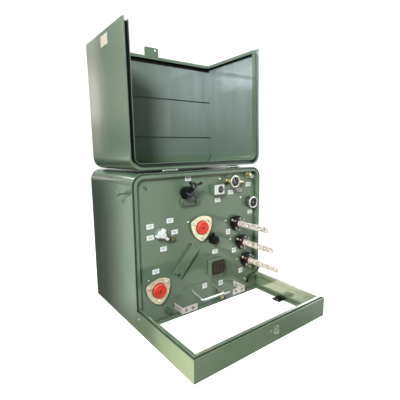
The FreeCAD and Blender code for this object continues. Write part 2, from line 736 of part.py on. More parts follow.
def needle(name, angle):
    """Tapered pointer that turns on a pin in the dial; angle is where it points, from straight up."""
    x, z, _, front, dial_r = GAUGES[name]
    y = PLATE_Y - front + DIAL_DEPTH - DIAL_T - 1.5
    reach = dial_r * 0.82
    tail = dial_r * 0.25
    outline = [V(x - 1.8, y, z - tail), V(x + 1.8, y, z - tail), V(x + 0.5, y, z + reach),
               V(x - 0.5, y, z + reach), V(x - 1.8, y, z - tail)]
    hand = Part.Face(Part.makePolygon(outline)).extrude(V(0, -1, 0))
    hub = Part.makeCylinder(3, 1.5, V(x, y, z), OUTWARD)
    pin = Part.makeCylinder(1.0, 3, V(x, y + 2.4, z), OUTWARD)
    made = fuse([hand, hub, pin])
    made.rotate(V(x, 0, z), Y_AXIS, angle)
    return made


def pressure_needle():
    return needle("pressure", -20)


def level_needle():
    return needle("level", -75)


def temperature_needle():
    return needle("thermometer", -100)


# ---- valves ----

def relief_valve():
    """Brass pressure relief valve."""
    x, z = RELIEF_AT
    body = stack(x, z, [(13, 3), (10, 26), (13, 8), (9, 5)])
    nut = hexagon(x, z, 27, PLATE_Y - 3, 9)
    inner = Part.makeCylinder(8, 20, V(x, PLATE_Y + 20, z), OUTWARD)
    return fuse([body, nut, inner]).cut(hole(x, z, 2 + RUNNING, PLATE_Y - 12, PLATE_Y - 60))


def relief_ring():
    """Pull ring and stem of the relief valve."""
    x, z = RELIEF_AT
    face = PLATE_Y - 42
    stem = Part.makeCylinder(2, 34, V(x, face + 22, z), OUTWARD)
    ring = Part.makeTorus(8, 1.6, V(x, face - 12, z - 8), X_AXIS)
    return fuse([stem, ring])


def drain_valve():
    """Brass drain valve with a hexagon root and a capped outlet pointing down."""
    x, z = DRAIN_AT
    body = stack(x, z, [(13, 4), (10, 44)])
    root = hexagon(x, z, 28, PLATE_Y - 3, 11)
    chest = Part.makeSphere(14, V(x, PLATE_Y - 32, z))
    outlet = rod(V(x, PLATE_Y - 32, z), V(x, PLATE_Y - 32, z - 30), 8)
    cap = rod(V(x, PLATE_Y - 32, z - 20), V(x, PLATE_Y - 32, z - 34), 11)
    inner = Part.makeCylinder(9, 30, V(x, PLATE_Y + 30, z), OUTWARD)
    bore = hole(x, z, 3 + RUNNING, PLATE_Y - 30, PLATE_Y - 60)
    return fuse([body, root, chest, outlet, cap, inner]).cut(bore)


def drain_handle():
    """Quarter-turn lever of the drain valve."""
    x, z = DRAIN_AT
    face = PLATE_Y - 48
    stem = Part.makeCylinder(3, 22, V(x, face + 14, z), OUTWARD)
    hub = Part.makeCylinder(7, 5, V(x, face - 1, z), OUTWARD)
    lever = block(x - 5, x + 44, face - 5, face - 2, z - 5, z + 5)
    return fuse([stem, hub, lever])


# ---- switches ----

SHAFT_R = 6.0


def rotary_switch(x, z, radius, depth):
    """Switch body behind the plate with a bearing collar that reaches through it."""
    body = Part.makeCylinder(radius, depth, V(x, PLATE_BACK_Y + depth, z), OUTWARD)
    collar = stack(x, z, [(8 - LOOSE, PLATE_T)], PLATE_BACK_Y)
    flange = Part.makeCylinder(16, 4, V(x, PLATE_Y, z), OUTWARD)
    bore = hole(x, z, SHAFT_R + RUNNING, PLATE_BACK_Y + depth - 8, PLATE_Y - 6)
    return fuse([body, collar, flange]).cut(bore)


def tap_changer():
    """Five-position tap switch in the oil, with its index disc outside."""
    x, z = TAP_AT
    body = rotary_switch(x, z, 34, 60)
    index = Part.makeCylinder(33, 2, V(x, PLATE_Y, z), OUTWARD)
    return fuse([body, index]).cut(hole(x, z, SHAFT_R + RUNNING, PLATE_Y + 20, PLATE_Y - 6))


def load_switch():
    """Two-position load switch in the oil."""
    return rotary_switch(*KNOB_AT, 40, 80)


def tap_handle():
    """Moulded wing handle on the tap changer's shaft."""
    x, z = TAP_AT
    face = PLATE_Y - 4.5
    shaft = Part.makeCylinder(SHAFT_R, 60, V(x, face + 46, z), OUTWARD)
    hub = Part.makeCylinder(21, 14, V(x, face, z), OUTWARD)
    boss = Part.makeCylinder(15, 34, V(x, face, z), OUTWARD)
    wings = []
    for angle, reach in ((75, 27), (185, 31), (315, 31)):
        a = math.radians(angle)
        wing = block(0, reach, face - 32, face - 8, -7, 7)
        tip = Part.makeCylinder(7, 24, V(reach, face - 8, 0), OUTWARD)
        wing = fuse([wing, tip])
        wing.rotate(V(0, 0, 0), Y_AXIS, -math.degrees(a))
        wing.translate(V(x, 0, z))
        wings.append(wing)
    return fuse([shaft, hub, boss] + wings)


def tap_lock():
    """Spring plunger that locks the tap handle, pulled out to release it."""
    x, z = TAP_LOCK_AT
    knob = block(x - 11, x + 11, PLATE_Y - 20, PLATE_Y - 6.2, z - 12, z + 12)
    stem = Part.makeCylinder(4, 8, V(x, PLATE_Y - 0.5, z), OUTWARD)
    return fuse([knob, stem])


def switch_knob():
    """Domed knob with a raised pointer on the load switch's shaft."""
    x, z = KNOB_AT
    face = PLATE_Y - 4.5
    shaft = Part.makeCylinder(SHAFT_R, 70, V(x, face + 56, z), OUTWARD)
    body = Part.makeCylinder(26, 34, V(x, face, z), OUTWARD)
    rim = [e for e in body.Edges if isinstance(e.Curve, Part.Circle) and e.Vertexes[0].Y < face - 20]
    body = body.makeFillet(9, rim)
    pointer = block(x - 4, x + 4, face - 24, face - 4, z + 18, z + 38)
    return fuse([shaft, body, pointer])


# ---- fixed pieces on the plate ----

BOX_DEPTH = 34.0


def nameplate_box():
    """Open-backed welded box that carries the nameplate."""
    x, z = NAMEPLATE_AT
    outer = block(x - 52, x + 52, PLATE_Y - BOX_DEPTH, PLATE_Y, z - 45, z + 45)
    inner = block(x - 50, x + 50, PLATE_Y - BOX_DEPTH + 2, PLATE_Y + 1, z - 43, z + 43)
    return outer.cut(inner)


def nameplate():
    """Blank metal nameplate."""
    x, z = NAMEPLATE_AT
    return block(x - 49, x + 49, PLATE_Y - BOX_DEPTH - 1.5, PLATE_Y - BOX_DEPTH, z - 42, z + 42)


def parking_stand():
    """Slanted pocket between the wells that holds a parked elbow's bracket."""
    length, width, proud = 182.0, 60.0, 18.0
    t = 2.5
    half_l, half_w = length / 2, width / 2
    box = block(-half_l, half_l, PLATE_Y - proud, PLATE_Y, -half_w, half_w)
    room = block(-half_l - 1, half_l - t, PLATE_Y - proud + t, PLATE_Y + 1, -half_w + t, half_w + 1)
    slot = block(-half_l + 4, -half_l + 12, PLATE_Y - proud - 1, PLATE_Y, -16, 2)
    stand = box.cut([room, slot])
    stand.rotate(V(0, 0, 0), Y_AXIS, -48.3)
    x, z = PARKING_AT
    stand.translate(V(x, 0, z))
    return stand


ROD_R = 6.5


def ground_rod():
    """Bent round bar for ground clamps, sloping down from the plate."""
    left, right = -86.0, 59.0
    root_y, root_z = PLATE_Y + ROD_R, 113.0
    knee_y, knee_z = MOUTH_Y - 86, 90.0
    points = [V(left, root_y, root_z), V(left, knee_y, knee_z)]
    points += [V(right, knee_y, knee_z), V(right, root_y, root_z)]
    bar = pipe(points, ROD_R, 2 * ROD_R)
    return bar.common(block(-200, 200, knee_y - 20, PLATE_Y, 0, 200))


BAR_H = 32.0
BAR_T = 6.0
BAR_HOLE_R = 6.15
BAR_HOLES = (25.0, 25.0 + SPADE_PITCH)     # from the outer corner, in each leg


def ground_bar(x, z, out, leg, side):
    """L-shaped bar: one leg out of the plate, one leg sideways, two holes in each leg."""
    tip_y = PLATE_Y - out
    x0, x1 = sorted((x, x + side * BAR_T))
    first = block(x0, x1, tip_y, PLATE_Y, z - BAR_H / 2, z + BAR_H / 2)
    a, b = sorted((x, x + side * leg))
    second = block(a, b, tip_y, tip_y + BAR_T, z - BAR_H / 2, z + BAR_H / 2)
    cuts = []
    for d in BAR_HOLES:
        cuts.append(Part.makeCylinder(BAR_HOLE_R, 20, V(x - 10, tip_y + d, z), X_AXIS))
        cuts.append(Part.makeCylinder(BAR_HOLE_R, 20, V(x + side * d, tip_y + 13, z), OUTWARD))
    return fuse([first, second]).cut(cuts)


# Each ground bar is (x and z of its root on the plate, reach out of the plate, front leg, its direction).
GROUND_BARS = ((-205.0, 55.0, 82.0, 100.0, 1), (232.0, 71.0, 100.0, 92.0, -1))


def ground_bars():
    """Left and right L-shaped ground bars."""
    return group([ground_bar(*values) for values in GROUND_BARS])


STRAP_R = 4.5
STRAP_LUG_Y = SPADE_FIRST_HOLE_Y


def ground_strap():
    """Insulated strap from the lowest spade's first hole down to a boss on the plate."""
    x, z = LV_BUSHINGS[2]
    side = x + SPADE_T / 2 + STRAP_R + 0.4
    low = V(338, PLATE_Y - 14, 70)
    points = [V(side, STRAP_LUG_Y, z - 14), V(side + 2, STRAP_LUG_Y + 6, z - 34),
              V(side + 6, STRAP_LUG_Y + 40, z - 72), V(side + 12, STRAP_LUG_Y + 78, z - 96),
              V(338, PLATE_Y - 22, z - 112), low]
    cable = pipe(points, STRAP_R, 12)
    lug_face = V(x + SPADE_T / 2 + 0.1, STRAP_LUG_Y, z)
    lug = Part.makeCylinder(12, 3, lug_face, X_AXIS)
    tongue = block(side - STRAP_R, side, STRAP_LUG_Y - 4, STRAP_LUG_Y + 4, z - 20, z)
    lug_hole = Part.makeCylinder(SPADE_HOLE_R, 5, lug_face - X_AXIS, X_AXIS)
    foot = Part.makeCylinder(9, 4, V(338, PLATE_Y - 10, 62), OUTWARD)
    return fuse([cable, lug, tongue, foot]).cut(lug_hole)


STUDS_AT = [(114, 729), (276, 606), (-357, 714), (-111, 510), (-356, 240), (160, 478), (196, 361),
            (250, 224), (316, 82)]


def plate_studs():
    """Small welded studs, the ground bosses and the tap lock's seat on the terminal plate."""
    made = []
    for x, z in STUDS_AT:
        made.append(stack(x, z, [(3.5, 9), (5, 3)]))
    bx, bz = GROUND_BOSS_AT
    boss = stack(bx, bz, [(16, 14)])
    made.append(fuse([boss, hexagon(bx, bz, 19, PLATE_Y - 14, 10)]))
    made.append(stack(338, 62, [(8, 10)]))
    lx, lz = TAP_LOCK_AT
    seat = Part.makeCylinder(13, 6, V(lx, PLATE_Y, lz), OUTWARD)
    made.append(seat.cut(hole(lx, lz, 4 + RUNNING, PLATE_Y + 1, PLATE_Y - 8)))
    return group(made)


# ---- labels: (x, z) of each on the plate, then size ----
WIDE_LABELS = [(-99, 743), (105, 606), (205, 643), (274, 652), (348, 679), (366, 505), (-217, 531),
               (-334, 517), (-334, 459), (-190, 466), (-260, 387), (-309, 276), (84, 304)]
SMALL_LABELS = [(186, 406), (234, 282), (290, 140), (7, 114), (128, 101)]


def label_plates():
    """Blank labels stuck on the terminal plate."""
    made = []
    for places, w, h in ((WIDE_LABELS, 40, 25), (SMALL_LABELS, 34, 30)):
        for x, z in places:
            made.append(block(x - w / 2, x + w / 2, PLATE_Y - 0.6, PLATE_Y, z - h / 2, z + h / 2))
    return group(made)


# ---- core and coils inside the tank ----

CORE_Y = 300.0
CORE_DEPTH = 180.0
CORE_Z = (60.0, 490.0)
LEG = 70.0
WINDOW_W = 88.0
WINDING_Z = (140.0, 410.0)


def core_loop(side):
    """Wound core loop with rounded corners, standing upright beside the centre line."""
    near, far = 0.5, LEG + WINDOW_W + LEG
    x0, x1 = sorted((side * near, side * far))
    z0, z1 = CORE_Z
    y0, y1 = CORE_Y - CORE_DEPTH / 2, CORE_Y + CORE_DEPTH / 2
    outer = block(x0, x1, y0, y1, z0, z1)
    depth_edges = [e for e in outer.Edges if abs(e.Vertexes[0].Y - e.Vertexes[1].Y) > 1]
    outer = outer.makeFillet(24, depth_edges)
    return outer.cut(block(x0 + LEG, x1 - LEG, y0 - 1, y1 + 1, z0 + LEG, z1 - LEG))


def core_loops():
    """Two wound core loops."""
    return group([core_loop(side) for side in (-1, 1)])


def winding(inner_x, inner_y, outer_x, outer_y):
    """Rectangular coil round the two inner legs; sizes are half widths."""
    z0, z1 = WINDING_Z
    outer = block(-outer_x, outer_x, CORE_Y - outer_y, CORE_Y + outer_y, z0, z1)
    edges = [e for e in outer.Edges if abs(e.Vertexes[0].Z - e.Vertexes[1].Z) > 1]
    outer = outer.makeFillet(20, edges)
    return outer.cut(block(-inner_x, inner_x, CORE_Y - inner_y, CORE_Y + inner_y, z0 - 1, z1 + 1))


def lv_winding():
    return winding(73, 93, 108, 128)


def hv_winding():
    return winding(110, 130, 152, 172)


def core_clamps():
    """Frames that grip the yokes: a pair of channels at the top and at the bottom, joined by tie straps."""
    half = LEG + WINDOW_W + LEG
    front, rear = CORE_Y - CORE_DEPTH / 2, CORE_Y + CORE_DEPTH / 2
    z0, z1 = CORE_Z
    t = 6.0
    made = []
    for grip_low, grip_high, web in ((5, z0 + 60, z0 - 8), (z1 - 60, z1 + 8, z1)):
        cheeks = [block(-half, half, y, y + t, grip_low, grip_high) for y in (front - t, rear)]
        made.append(fuse(cheeks + [block(-half, half, front - t, rear + t, web, web + 8)]))
    for side in (-1, 1):
        x0, x1 = sorted((side * (half + 1), side * (half + 5)))
        made.append(block(x0, x1, CORE_Y - 20, CORE_Y + 20, z0 - 8, z1 + 8))
    return group(made)


LEAD_R = 5.0
LEAD_BEND = 12.0


def winding_leads():
    """Insulated leads to the bushings: three from the low-voltage winding, two from the other one."""
    top = WINDING_Z[1]
    front = CORE_Y - 115
    made = []
    for (x, z), lane_y, lane_z, end_x in zip(LV_BUSHINGS, (front, 80, 110), (458, 500, 540), (60, 0, -60)):
        points = [V(x, LV_INNER_Y, z), V(x, lane_y, z)]
        if abs(lane_z - z) > 1:
            points.append(V(x, lane_y, lane_z))
        points.append(V(end_x, lane_y, lane_z))
        if abs(lane_y - front) > 1:
            points.append(V(end_x, front, lane_z))
        points.append(V(end_x, front, top))
        made.append(pipe(points, LEAD_R, LEAD_BEND))
    lane = CORE_Y - 150
    side_lane = CORE_Y - 130
    (ax, az, _), (bx, bz, _) = HV_WELLS
    made.append(pipe([V(ax, WELL_INNER_Y, az), V(ax, lane, az), V(ax, lane, top)], LEAD_R, LEAD_BEND))
    lower = [V(bx, WELL_INNER_Y, bz), V(bx, side_lane, bz), V(-152, side_lane, bz)]
    made.append(pipe(lower, LEAD_R, LEAD_BEND))
    return group(made)


NODES = [
    tank_wrap, tank_back_panel, tank_floor, front_plate, front_lip_frame, sill_frame, tie_down_cleats,
    lifting_lugs, tank_hinge_leaves, hinge_pins, latch_fitting, security_bolt,
    hood_wrap, hood_front_panel, hood_rim_lip, hood_base_flange, hood_ribs, hood_hasp, hood_hinge_leaves,
    hv_bushing_wells, hv_clamp_plates, clamp_studs, hv_cap_upper, hv_cap_lower,
    fuse_housing, fuse_holder, drip_tray,
    lv_insulators, lv_clamp_plates, lv_spades,
    pressure_gauge, level_gauge, thermometer, gauge_dials, gauge_lenses,
    pressure_needle, level_needle, temperature_needle,
    relief_valve, relief_ring, drain_valve, drain_handle,
    tap_changer, tap_handle, tap_lock, load_switch, switch_knob,
    nameplate_box, nameplate, parking_stand, ground_rod, ground_bars, ground_strap, plate_studs,
    label_plates,
    core_loops, core_clamps, lv_winding, hv_winding, winding_leads,
]


def main():
    os.makedirs("parts", exist_ok=True)
    for make in NODES:
        shape = make()
        if not shape.isValid() or not shape.Solids:
            raise RuntimeError(make.__name__ + " did not build a valid solid")
        shape.exportStep(os.path.join("parts", make.__name__ + ".step"))


main()
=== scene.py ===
"""Looks of the pad-mounted transformer: materials, small details, stage, light and camera."""

import json
import math
import random

import bmesh
import bpy
from mathutils import Matrix, Vector


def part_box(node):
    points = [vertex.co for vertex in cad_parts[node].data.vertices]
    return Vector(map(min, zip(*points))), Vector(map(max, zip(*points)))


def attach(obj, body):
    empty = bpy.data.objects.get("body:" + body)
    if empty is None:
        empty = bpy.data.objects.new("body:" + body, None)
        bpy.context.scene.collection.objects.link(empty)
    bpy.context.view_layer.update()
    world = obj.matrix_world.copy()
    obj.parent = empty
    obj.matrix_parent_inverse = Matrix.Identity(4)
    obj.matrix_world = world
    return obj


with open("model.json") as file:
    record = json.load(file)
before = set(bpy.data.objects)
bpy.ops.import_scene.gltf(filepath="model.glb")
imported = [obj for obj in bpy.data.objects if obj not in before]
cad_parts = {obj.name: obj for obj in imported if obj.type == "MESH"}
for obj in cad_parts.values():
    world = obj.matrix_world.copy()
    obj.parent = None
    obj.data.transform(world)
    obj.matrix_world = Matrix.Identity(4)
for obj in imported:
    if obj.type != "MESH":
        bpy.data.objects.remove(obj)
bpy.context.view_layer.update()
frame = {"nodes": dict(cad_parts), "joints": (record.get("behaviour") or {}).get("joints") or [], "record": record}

MM = 0.001
NODES = frame["nodes"]
UP = Vector((0, 0, 1))
OUT = Vector((0, -1, 0))          # out of the terminal plate
RIGHT = Vector((1, 0, 0))
OPEN_ANGLE = 181.3                # degrees the hood has swung from closed to where it lies in the frame


# ---- shader building blocks ----

def new_material(name):
    """Node material with nothing but its Principled shader and output."""
    material = bpy.data.materials.new(name)
    material.use_nodes = True
    return material


def shader_of(material):
    """Node tree of a material, and its Principled shader."""
    tree = material.node_tree
    return tree, next(n for n in tree.nodes if n.type == "BSDF_PRINCIPLED")


def add(tree, kind, inputs=None, **settings):
    """Adds a node, sets its settings, then links or sets its inputs."""
    node = tree.nodes.new(kind)
    for key, value in settings.items():
        setattr(node, key, value)
    for key, value in (inputs or {}).items():
        join(tree, value, node.inputs[key])
    return node


def join(tree, value, socket):
    """Links a socket to another, or sets its value."""
    if isinstance(value, bpy.types.NodeSocket):
        tree.links.new(value, socket)
    else:
        socket.default_value = value


def calc(tree, operation, a, b=0.0):
    """One step of arithmetic on numbers or sockets."""
    return add(tree, "ShaderNodeMath", {0: a, 1: b}, operation=operation).outputs[0]


def stretch(tree, value, low, high, to_low=0.0, to_high=1.0):
    """Maps low..high to to_low..to_high, clamped."""
    node = add(tree, "ShaderNodeMapRange", {"Value": value, "From Min": low, "From Max": high,
                                            "To Min": to_low, "To Max": to_high})
    return node.outputs["Result"]


def mix(tree, factor, a, b, blend="MIX"):
    """Colour mix."""
    node = add(tree, "ShaderNodeMix", data_type="RGBA", blend_type=blend)
    join(tree, factor, node.inputs[0])
    join(tree, colour4(a), node.inputs[6])
    join(tree, colour4(b), node.inputs[7])
    return node.outputs[2]


def colour4(value):
    """A socket as it is, or a colour with an alpha of 1."""
    return value if isinstance(value, bpy.types.NodeSocket) else (*value[:3], 1.0)


def place(tree, scale=(1, 1, 1)):
    """Position on the object, in metres, scaled per axis."""
    at = add(tree, "ShaderNodeTexCoord").outputs["Object"]
    return add(tree, "ShaderNodeMapping", {"Vector": at, "Scale": scale}).outputs["Vector"]


def noise(tree, size, detail, scale=(1, 1, 1)):
    """Noise whose grains are about size metres."""
    inputs = {"Vector": place(tree, scale), "Scale": 1.0 / size, "Detail": detail}
    return add(tree, "ShaderNodeTexNoise", inputs).outputs["Fac"]


def edges(tree, radius):
    """Near 1 on outer edges within radius, else 0. Also gives the rounded normal."""
    bevel = add(tree, "ShaderNodeBevel", {"Radius": radius}, samples=4)
    true = add(tree, "ShaderNodeNewGeometry").outputs["Normal"]
    dot = add(tree, "ShaderNodeVectorMath", {0: bevel.outputs[0], 1: true}, operation="DOT_PRODUCT")
    flat, sharp = 0.995, 0.86
    return stretch(tree, dot.outputs["Value"], flat, sharp), bevel.outputs[0]


DUST = (0.42, 0.39, 0.30)
DUST_TOP = 0.35                   # dust thins out up to this height


def surface(name, colour, second, edge_colour, roughness, metallic=0.0, patch=0.02, mottle=0.5,
            grain=0.001, bump=0.06, edge=0.0008, edge_amount=0.6, dust=0.0, coat=0.0, specular=0.5,
            stretch_by=(1, 1, 1), painted_crevice_shade=0.5, reach=0.008):
    """Common finish: two-tone mottling, uneven gloss, fine bump, worn edges with painted highlights, low dust,
    painted crevice shade.

    The patches, the grain, the worn and highlighted edge and the reach of the painted crevice shade are lengths in
    metres.
    """
    material = new_material(name)
    tree, bsdf = shader_of(material)
    broad = stretch(tree, noise(tree, patch, 4.0, stretch_by), 0.3, 0.7)
    colour_now = mix(tree, calc(tree, "MULTIPLY", broad, mottle), colour, second)
    fine = noise(tree, grain, 2.0, stretch_by)
    # Edges take edge_colour as wear, and where it is lighter also as a painted edge highlight.
    on_edge, rounded = edges(tree, edge)
    broken = stretch(tree, noise(tree, 0.02, 5.0), 0.35, 0.6, 0.25, 1.0)
    edge_wear_and_highlight = calc(tree, "MULTIPLY", calc(tree, "MULTIPLY", on_edge, broken), edge_amount)
    colour_now = mix(tree, edge_wear_and_highlight, colour_now, edge_colour)
    if dust:
        height = add(tree, "ShaderNodeSeparateXYZ", {0: place(tree)}).outputs["Z"]
        low = stretch(tree, height, 0.0, DUST_TOP, dust, 0.0)
        settled = calc(tree, "MULTIPLY", low, stretch(tree, noise(tree, 0.05, 5.0), 0.35, 0.75))
        colour_now = mix(tree, settled, colour_now, DUST)
    # Painted shade: ambient occlusion darkens the colour in crevices, holes and corners.
    crevice = add(tree, "ShaderNodeAmbientOcclusion", {"Distance": reach}, samples=8,
                  only_local=False).outputs["AO"]
    shade = stretch(tree, crevice, 0.25, 0.9, 1.0 - painted_crevice_shade, 1.0)
    colour_now = mix(tree, 1.0, colour_now, shade, "MULTIPLY")
    join(tree, colour_now, bsdf.inputs["Base Color"])
    bsdf.inputs["Metallic"].default_value = metallic
    bsdf.inputs["Specular IOR Level"].default_value = specular
    join(tree, stretch(tree, broad, 0.0, 1.0, roughness * 0.85, roughness * 1.2), bsdf.inputs["Roughness"])
    if coat:
        bsdf.inputs["Coat Weight"].default_value = coat
        bsdf.inputs["Coat Roughness"].default_value = 0.035
    lumps = add(tree, "ShaderNodeBump", {"Height": fine, "Strength": bump, "Distance": 0.001,
                                         "Normal": rounded})
    join(tree, lumps.outputs[0], bsdf.inputs["Normal"])
    return material


def bump_more(tree, bsdf, height, strength, distance):
    """Adds another bump on top of a surface's own."""
    before = bsdf.inputs["Normal"].links[0].from_socket
    bumped = add(tree, "ShaderNodeBump", {"Height": height, "Strength": strength, "Distance": distance,
                                          "Normal": before})
    join(tree, bumped.outputs[0], bsdf.inputs["Normal"])


def ripples(material, axis, scale, strength, distance, distortion=0.0):
    """Bumps a surface in even bands that follow each other along an axis."""
    tree, bsdf = shader_of(material)
    inputs = {"Vector": place(tree), "Scale": scale, "Distortion": distortion}
    wave = add(tree, "ShaderNodeTexWave", inputs, wave_type="BANDS", bands_direction=axis)
    bump_more(tree, bsdf, wave.outputs["Fac"], strength, distance)


def zone(material, axis, limit, colour, metallic=0.0):
    """Past a limit along an axis of the row frame, the piece has another colour and metal share."""
    tree, bsdf = shader_of(material)
    where = add(tree, "ShaderNodeSeparateXYZ", {0: place(tree)}).outputs[axis]
    beyond = calc(tree, "GREATER_THAN", where, limit)
    before = bsdf.inputs["Base Color"].links[0].from_socket
    uneven = mix(tree, noise(tree, 0.02, 3.0), colour, tuple(c * 0.7 for c in colour))
    join(tree, mix(tree, beyond, before, uneven), bsdf.inputs["Base Color"])
    start = bsdf.inputs["Metallic"].default_value
    join(tree, stretch(tree, beyond, 0.0, 1.0, start, metallic), bsdf.inputs["Metallic"])


# ---- the materials ----

GREEN = (0.150, 0.225, 0.158)
GREEN_WARM = (0.178, 0.228, 0.146)


def green_paint():
    """Glossy enamel on steel sheet, slightly wavy."""
    material = surface("green_paint", GREEN, GREEN_WARM, edge_colour=(0.34, 0.42, 0.33), roughness=0.36,
                       patch=0.30, mottle=0.55, grain=0.0022, bump=0.045, edge=0.0016, edge_amount=0.55,
                       dust=0.10, coat=0.85, specular=0.14, painted_crevice_shade=0.75, reach=0.014)
    tree, bsdf = shader_of(material)
    bump_more(tree, bsdf, noise(tree, 0.16, 2.0), 0.08, 0.004)
    join(tree, bsdf.inputs["Normal"].links[0].from_socket, bsdf.inputs["Coat Normal"])
    return material


def hood_paint():
    """The green paint, paler and bluer on the hood's inside, with a painted streaky reflection near its right
    corner.
    """
    material = green_paint()
    material.name = "hood_paint"
    tree, bsdf = shader_of(material)
    lo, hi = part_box("hood_wrap")
    half_sheet, bend_end, blend_end = 0.0012, lo.z + 0.055, lo.z + 0.075
    x, y, z = add(tree, "ShaderNodeSeparateXYZ", {0: place(tree)}).outputs
    between_walls = calc(tree, "LESS_THAN", calc(tree, "ABSOLUTE", x), hi.x - half_sheet)
    lean = math.tan(math.radians(OPEN_ANGLE - 180))
    upright_y = calc(tree, "ADD", y, calc(tree, "MULTIPLY", calc(tree, "SUBTRACT", hi.z, z), lean))
    before_panel = calc(tree, "LESS_THAN", upright_y, hi.y - 0.001)
    clear_of_bend = stretch(tree, z, bend_end, blend_end)
    inside = calc(tree, "MULTIPLY", calc(tree, "MULTIPLY", between_walls, before_panel), clear_of_bend)
    before = bsdf.inputs["Base Color"].links[0].from_socket
    paler = mix(tree, 0.8, before, (0.205, 0.250, 0.218))
    # Painted reflection: pale bluish streaks on the inside near its upper right corner.
    reflection_streaks = stretch(tree, noise(tree, 0.05, 4.0, (1, 1, 0.15)), 0.25, 0.75, 0.55, 1.0)
    corner = calc(tree, "MULTIPLY", stretch(tree, x, -0.08, 0.30), stretch(tree, z, 0.90, 1.34))
    with_painted_reflection = mix(tree, calc(tree, "MULTIPLY", corner, reflection_streaks), paler, (0.40, 0.46, 0.45))
    join(tree, mix(tree, inside, before, with_painted_reflection), bsdf.inputs["Base Color"])
    return material


def zinc():
    return surface("bright_zinc", (0.62, 0.62, 0.60), (0.50, 0.50, 0.47), edge_colour=(0.8, 0.8, 0.8),
                   roughness=0.32, metallic=1.0, patch=0.01, grain=0.0008, bump=0.10, edge=0.0005)


def threaded_zinc():
    """Zinc with rolled threads along Y."""
    material = surface("threaded_zinc", (0.66, 0.66, 0.64), (0.48, 0.48, 0.46),
                       edge_colour=(0.8, 0.8, 0.8), roughness=0.30, metallic=1.0, patch=0.01, grain=0.0008,
                       bump=0.08, edge=0.0005)
    ripples(material, "Y", scale=260.0, strength=0.35, distance=0.0008)
    return material


def yellow_zinc():
    """Yellow passivated plate, greenish in patches and darker towards its edges."""
    return surface("yellow_zinc", (0.84, 0.74, 0.56), (0.70, 0.68, 0.46), edge_colour=(0.20, 0.20, 0.08),
                   roughness=0.32, metallic=0.5, patch=0.022, mottle=0.9, grain=0.0012, edge=0.0055,
                   edge_amount=1.0)


def dark_steel():
    return surface("black_steel", (0.010, 0.011, 0.010), (0.020, 0.020, 0.018),
                   edge_colour=(0.24, 0.24, 0.22), roughness=0.34, patch=0.03, grain=0.002, bump=0.10,
                   edge=0.0012, specular=0.12)


def tinned():
    return surface("tinned_copper", (0.84, 0.78, 0.75), (0.54, 0.49, 0.46), edge_colour=(0.95, 0.92, 0.88),
                   roughness=0.34, metallic=0.35, patch=0.018, mottle=0.9, stretch_by=(1, 0.25, 1),
                   painted_crevice_shade=0.97, reach=0.010)


def brass():
    return surface("brass", (0.60, 0.56, 0.33), (0.42, 0.38, 0.20), edge_colour=(0.95, 0.80, 0.45),
                   roughness=0.30, metallic=0.8, patch=0.015, mottle=0.6, grain=0.0008)


def black_moulding():
    return surface("black_moulding", (0.010, 0.010, 0.012), (0.018, 0.018, 0.020),
                   edge_colour=(0.10, 0.10, 0.11), roughness=0.26, patch=0.03, grain=0.0014, bump=0.05,
                   edge=0.0012, specular=0.12)


def brown_moulding():
    return surface("brown_moulding", (0.040, 0.016, 0.014), (0.070, 0.022, 0.018),
                   edge_colour=(0.20, 0.08, 0.07), roughness=0.20, grain=0.0014, bump=0.05, coat=0.4)


def red_cap():
    return surface("red_cap", (0.80, 0.085, 0.045), (0.66, 0.050, 0.030), edge_colour=(0.92, 0.26, 0.18),
                   roughness=0.36, mottle=0.7, bump=0.08, edge=0.0012, edge_amount=0.5)


def white_moulding():
    return surface("white_moulding", (0.80, 0.82, 0.80), (0.70, 0.72, 0.68),
                   edge_colour=(0.93, 0.94, 0.92), roughness=0.34)


def thermometer_case():
    """White face plate on a green box and a green bracket at its left."""
    material = surface("thermometer_case", (0.80, 0.82, 0.80), (0.70, 0.72, 0.68),
                       edge_colour=(0.93, 0.94, 0.92), roughness=0.34)
    zone(material, "Y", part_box("thermometer")[0].y + 0.004, GREEN)
    return material


def tap_body():
    """Black switch body in the tank, with its pale hub in front of the plate."""
    material = surface("tap_body", (0.30, 0.36, 0.32), (0.22, 0.27, 0.24), edge_colour=(0.60, 0.62, 0.60),
                       roughness=0.34)
    zone(material, "Y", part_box("front_plate")[1].y, (0.02, 0.02, 0.022))
    return material


def strap_rubber():
    """Black cable jacket with a brass lug at its upper end."""
    material = surface("strap_rubber", (0.014, 0.014, 0.014), (0.030, 0.030, 0.028),
                       edge_colour=(0.06, 0.06, 0.06), roughness=0.42, grain=0.0012, bump=0.12,
                       edge=0.0006)
    zone(material, "Z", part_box("ground_strap")[1].z - 0.036, (0.74, 0.55, 0.24), 1.0)
    return material


def bronze():
    return surface("bronze", (0.16, 0.13, 0.07), (0.10, 0.12, 0.07), edge_colour=(0.55, 0.50, 0.35),
                   roughness=0.34, metallic=0.6, patch=0.01, mottle=0.8, bump=0.08, edge=0.0010)


def cream_bezel():
    return surface("cream_bezel", (0.72, 0.72, 0.58), (0.50, 0.56, 0.38), edge_colour=(0.9, 0.9, 0.8),
                   roughness=0.25, metallic=0.5, patch=0.01, mottle=0.7, grain=0.0008, bump=0.04)


def gauge_steel():
    return surface("gauge_steel", (0.10, 0.12, 0.10), (0.16, 0.18, 0.16), edge_colour=(0.8, 0.8, 0.78),
                   roughness=0.28, metallic=0.4, patch=0.012, grain=0.0006, edge=0.0006)


def pale_bezel():
    return surface("pale_bezel", (0.66, 0.68, 0.64), (0.46, 0.48, 0.44), edge_colour=(0.8, 0.8, 0.78),
                   roughness=0.28, metallic=0.5, patch=0.01, grain=0.0006, edge=0.0006)


def latch_steel():
    """Green paint with near-white painted highlights along its edges."""
    return surface("latch_steel", (0.13, 0.19, 0.135), (0.16, 0.21, 0.14), edge_colour=(1.0, 1.0, 0.96),
                   roughness=0.34, edge=0.0045, edge_amount=1.0)


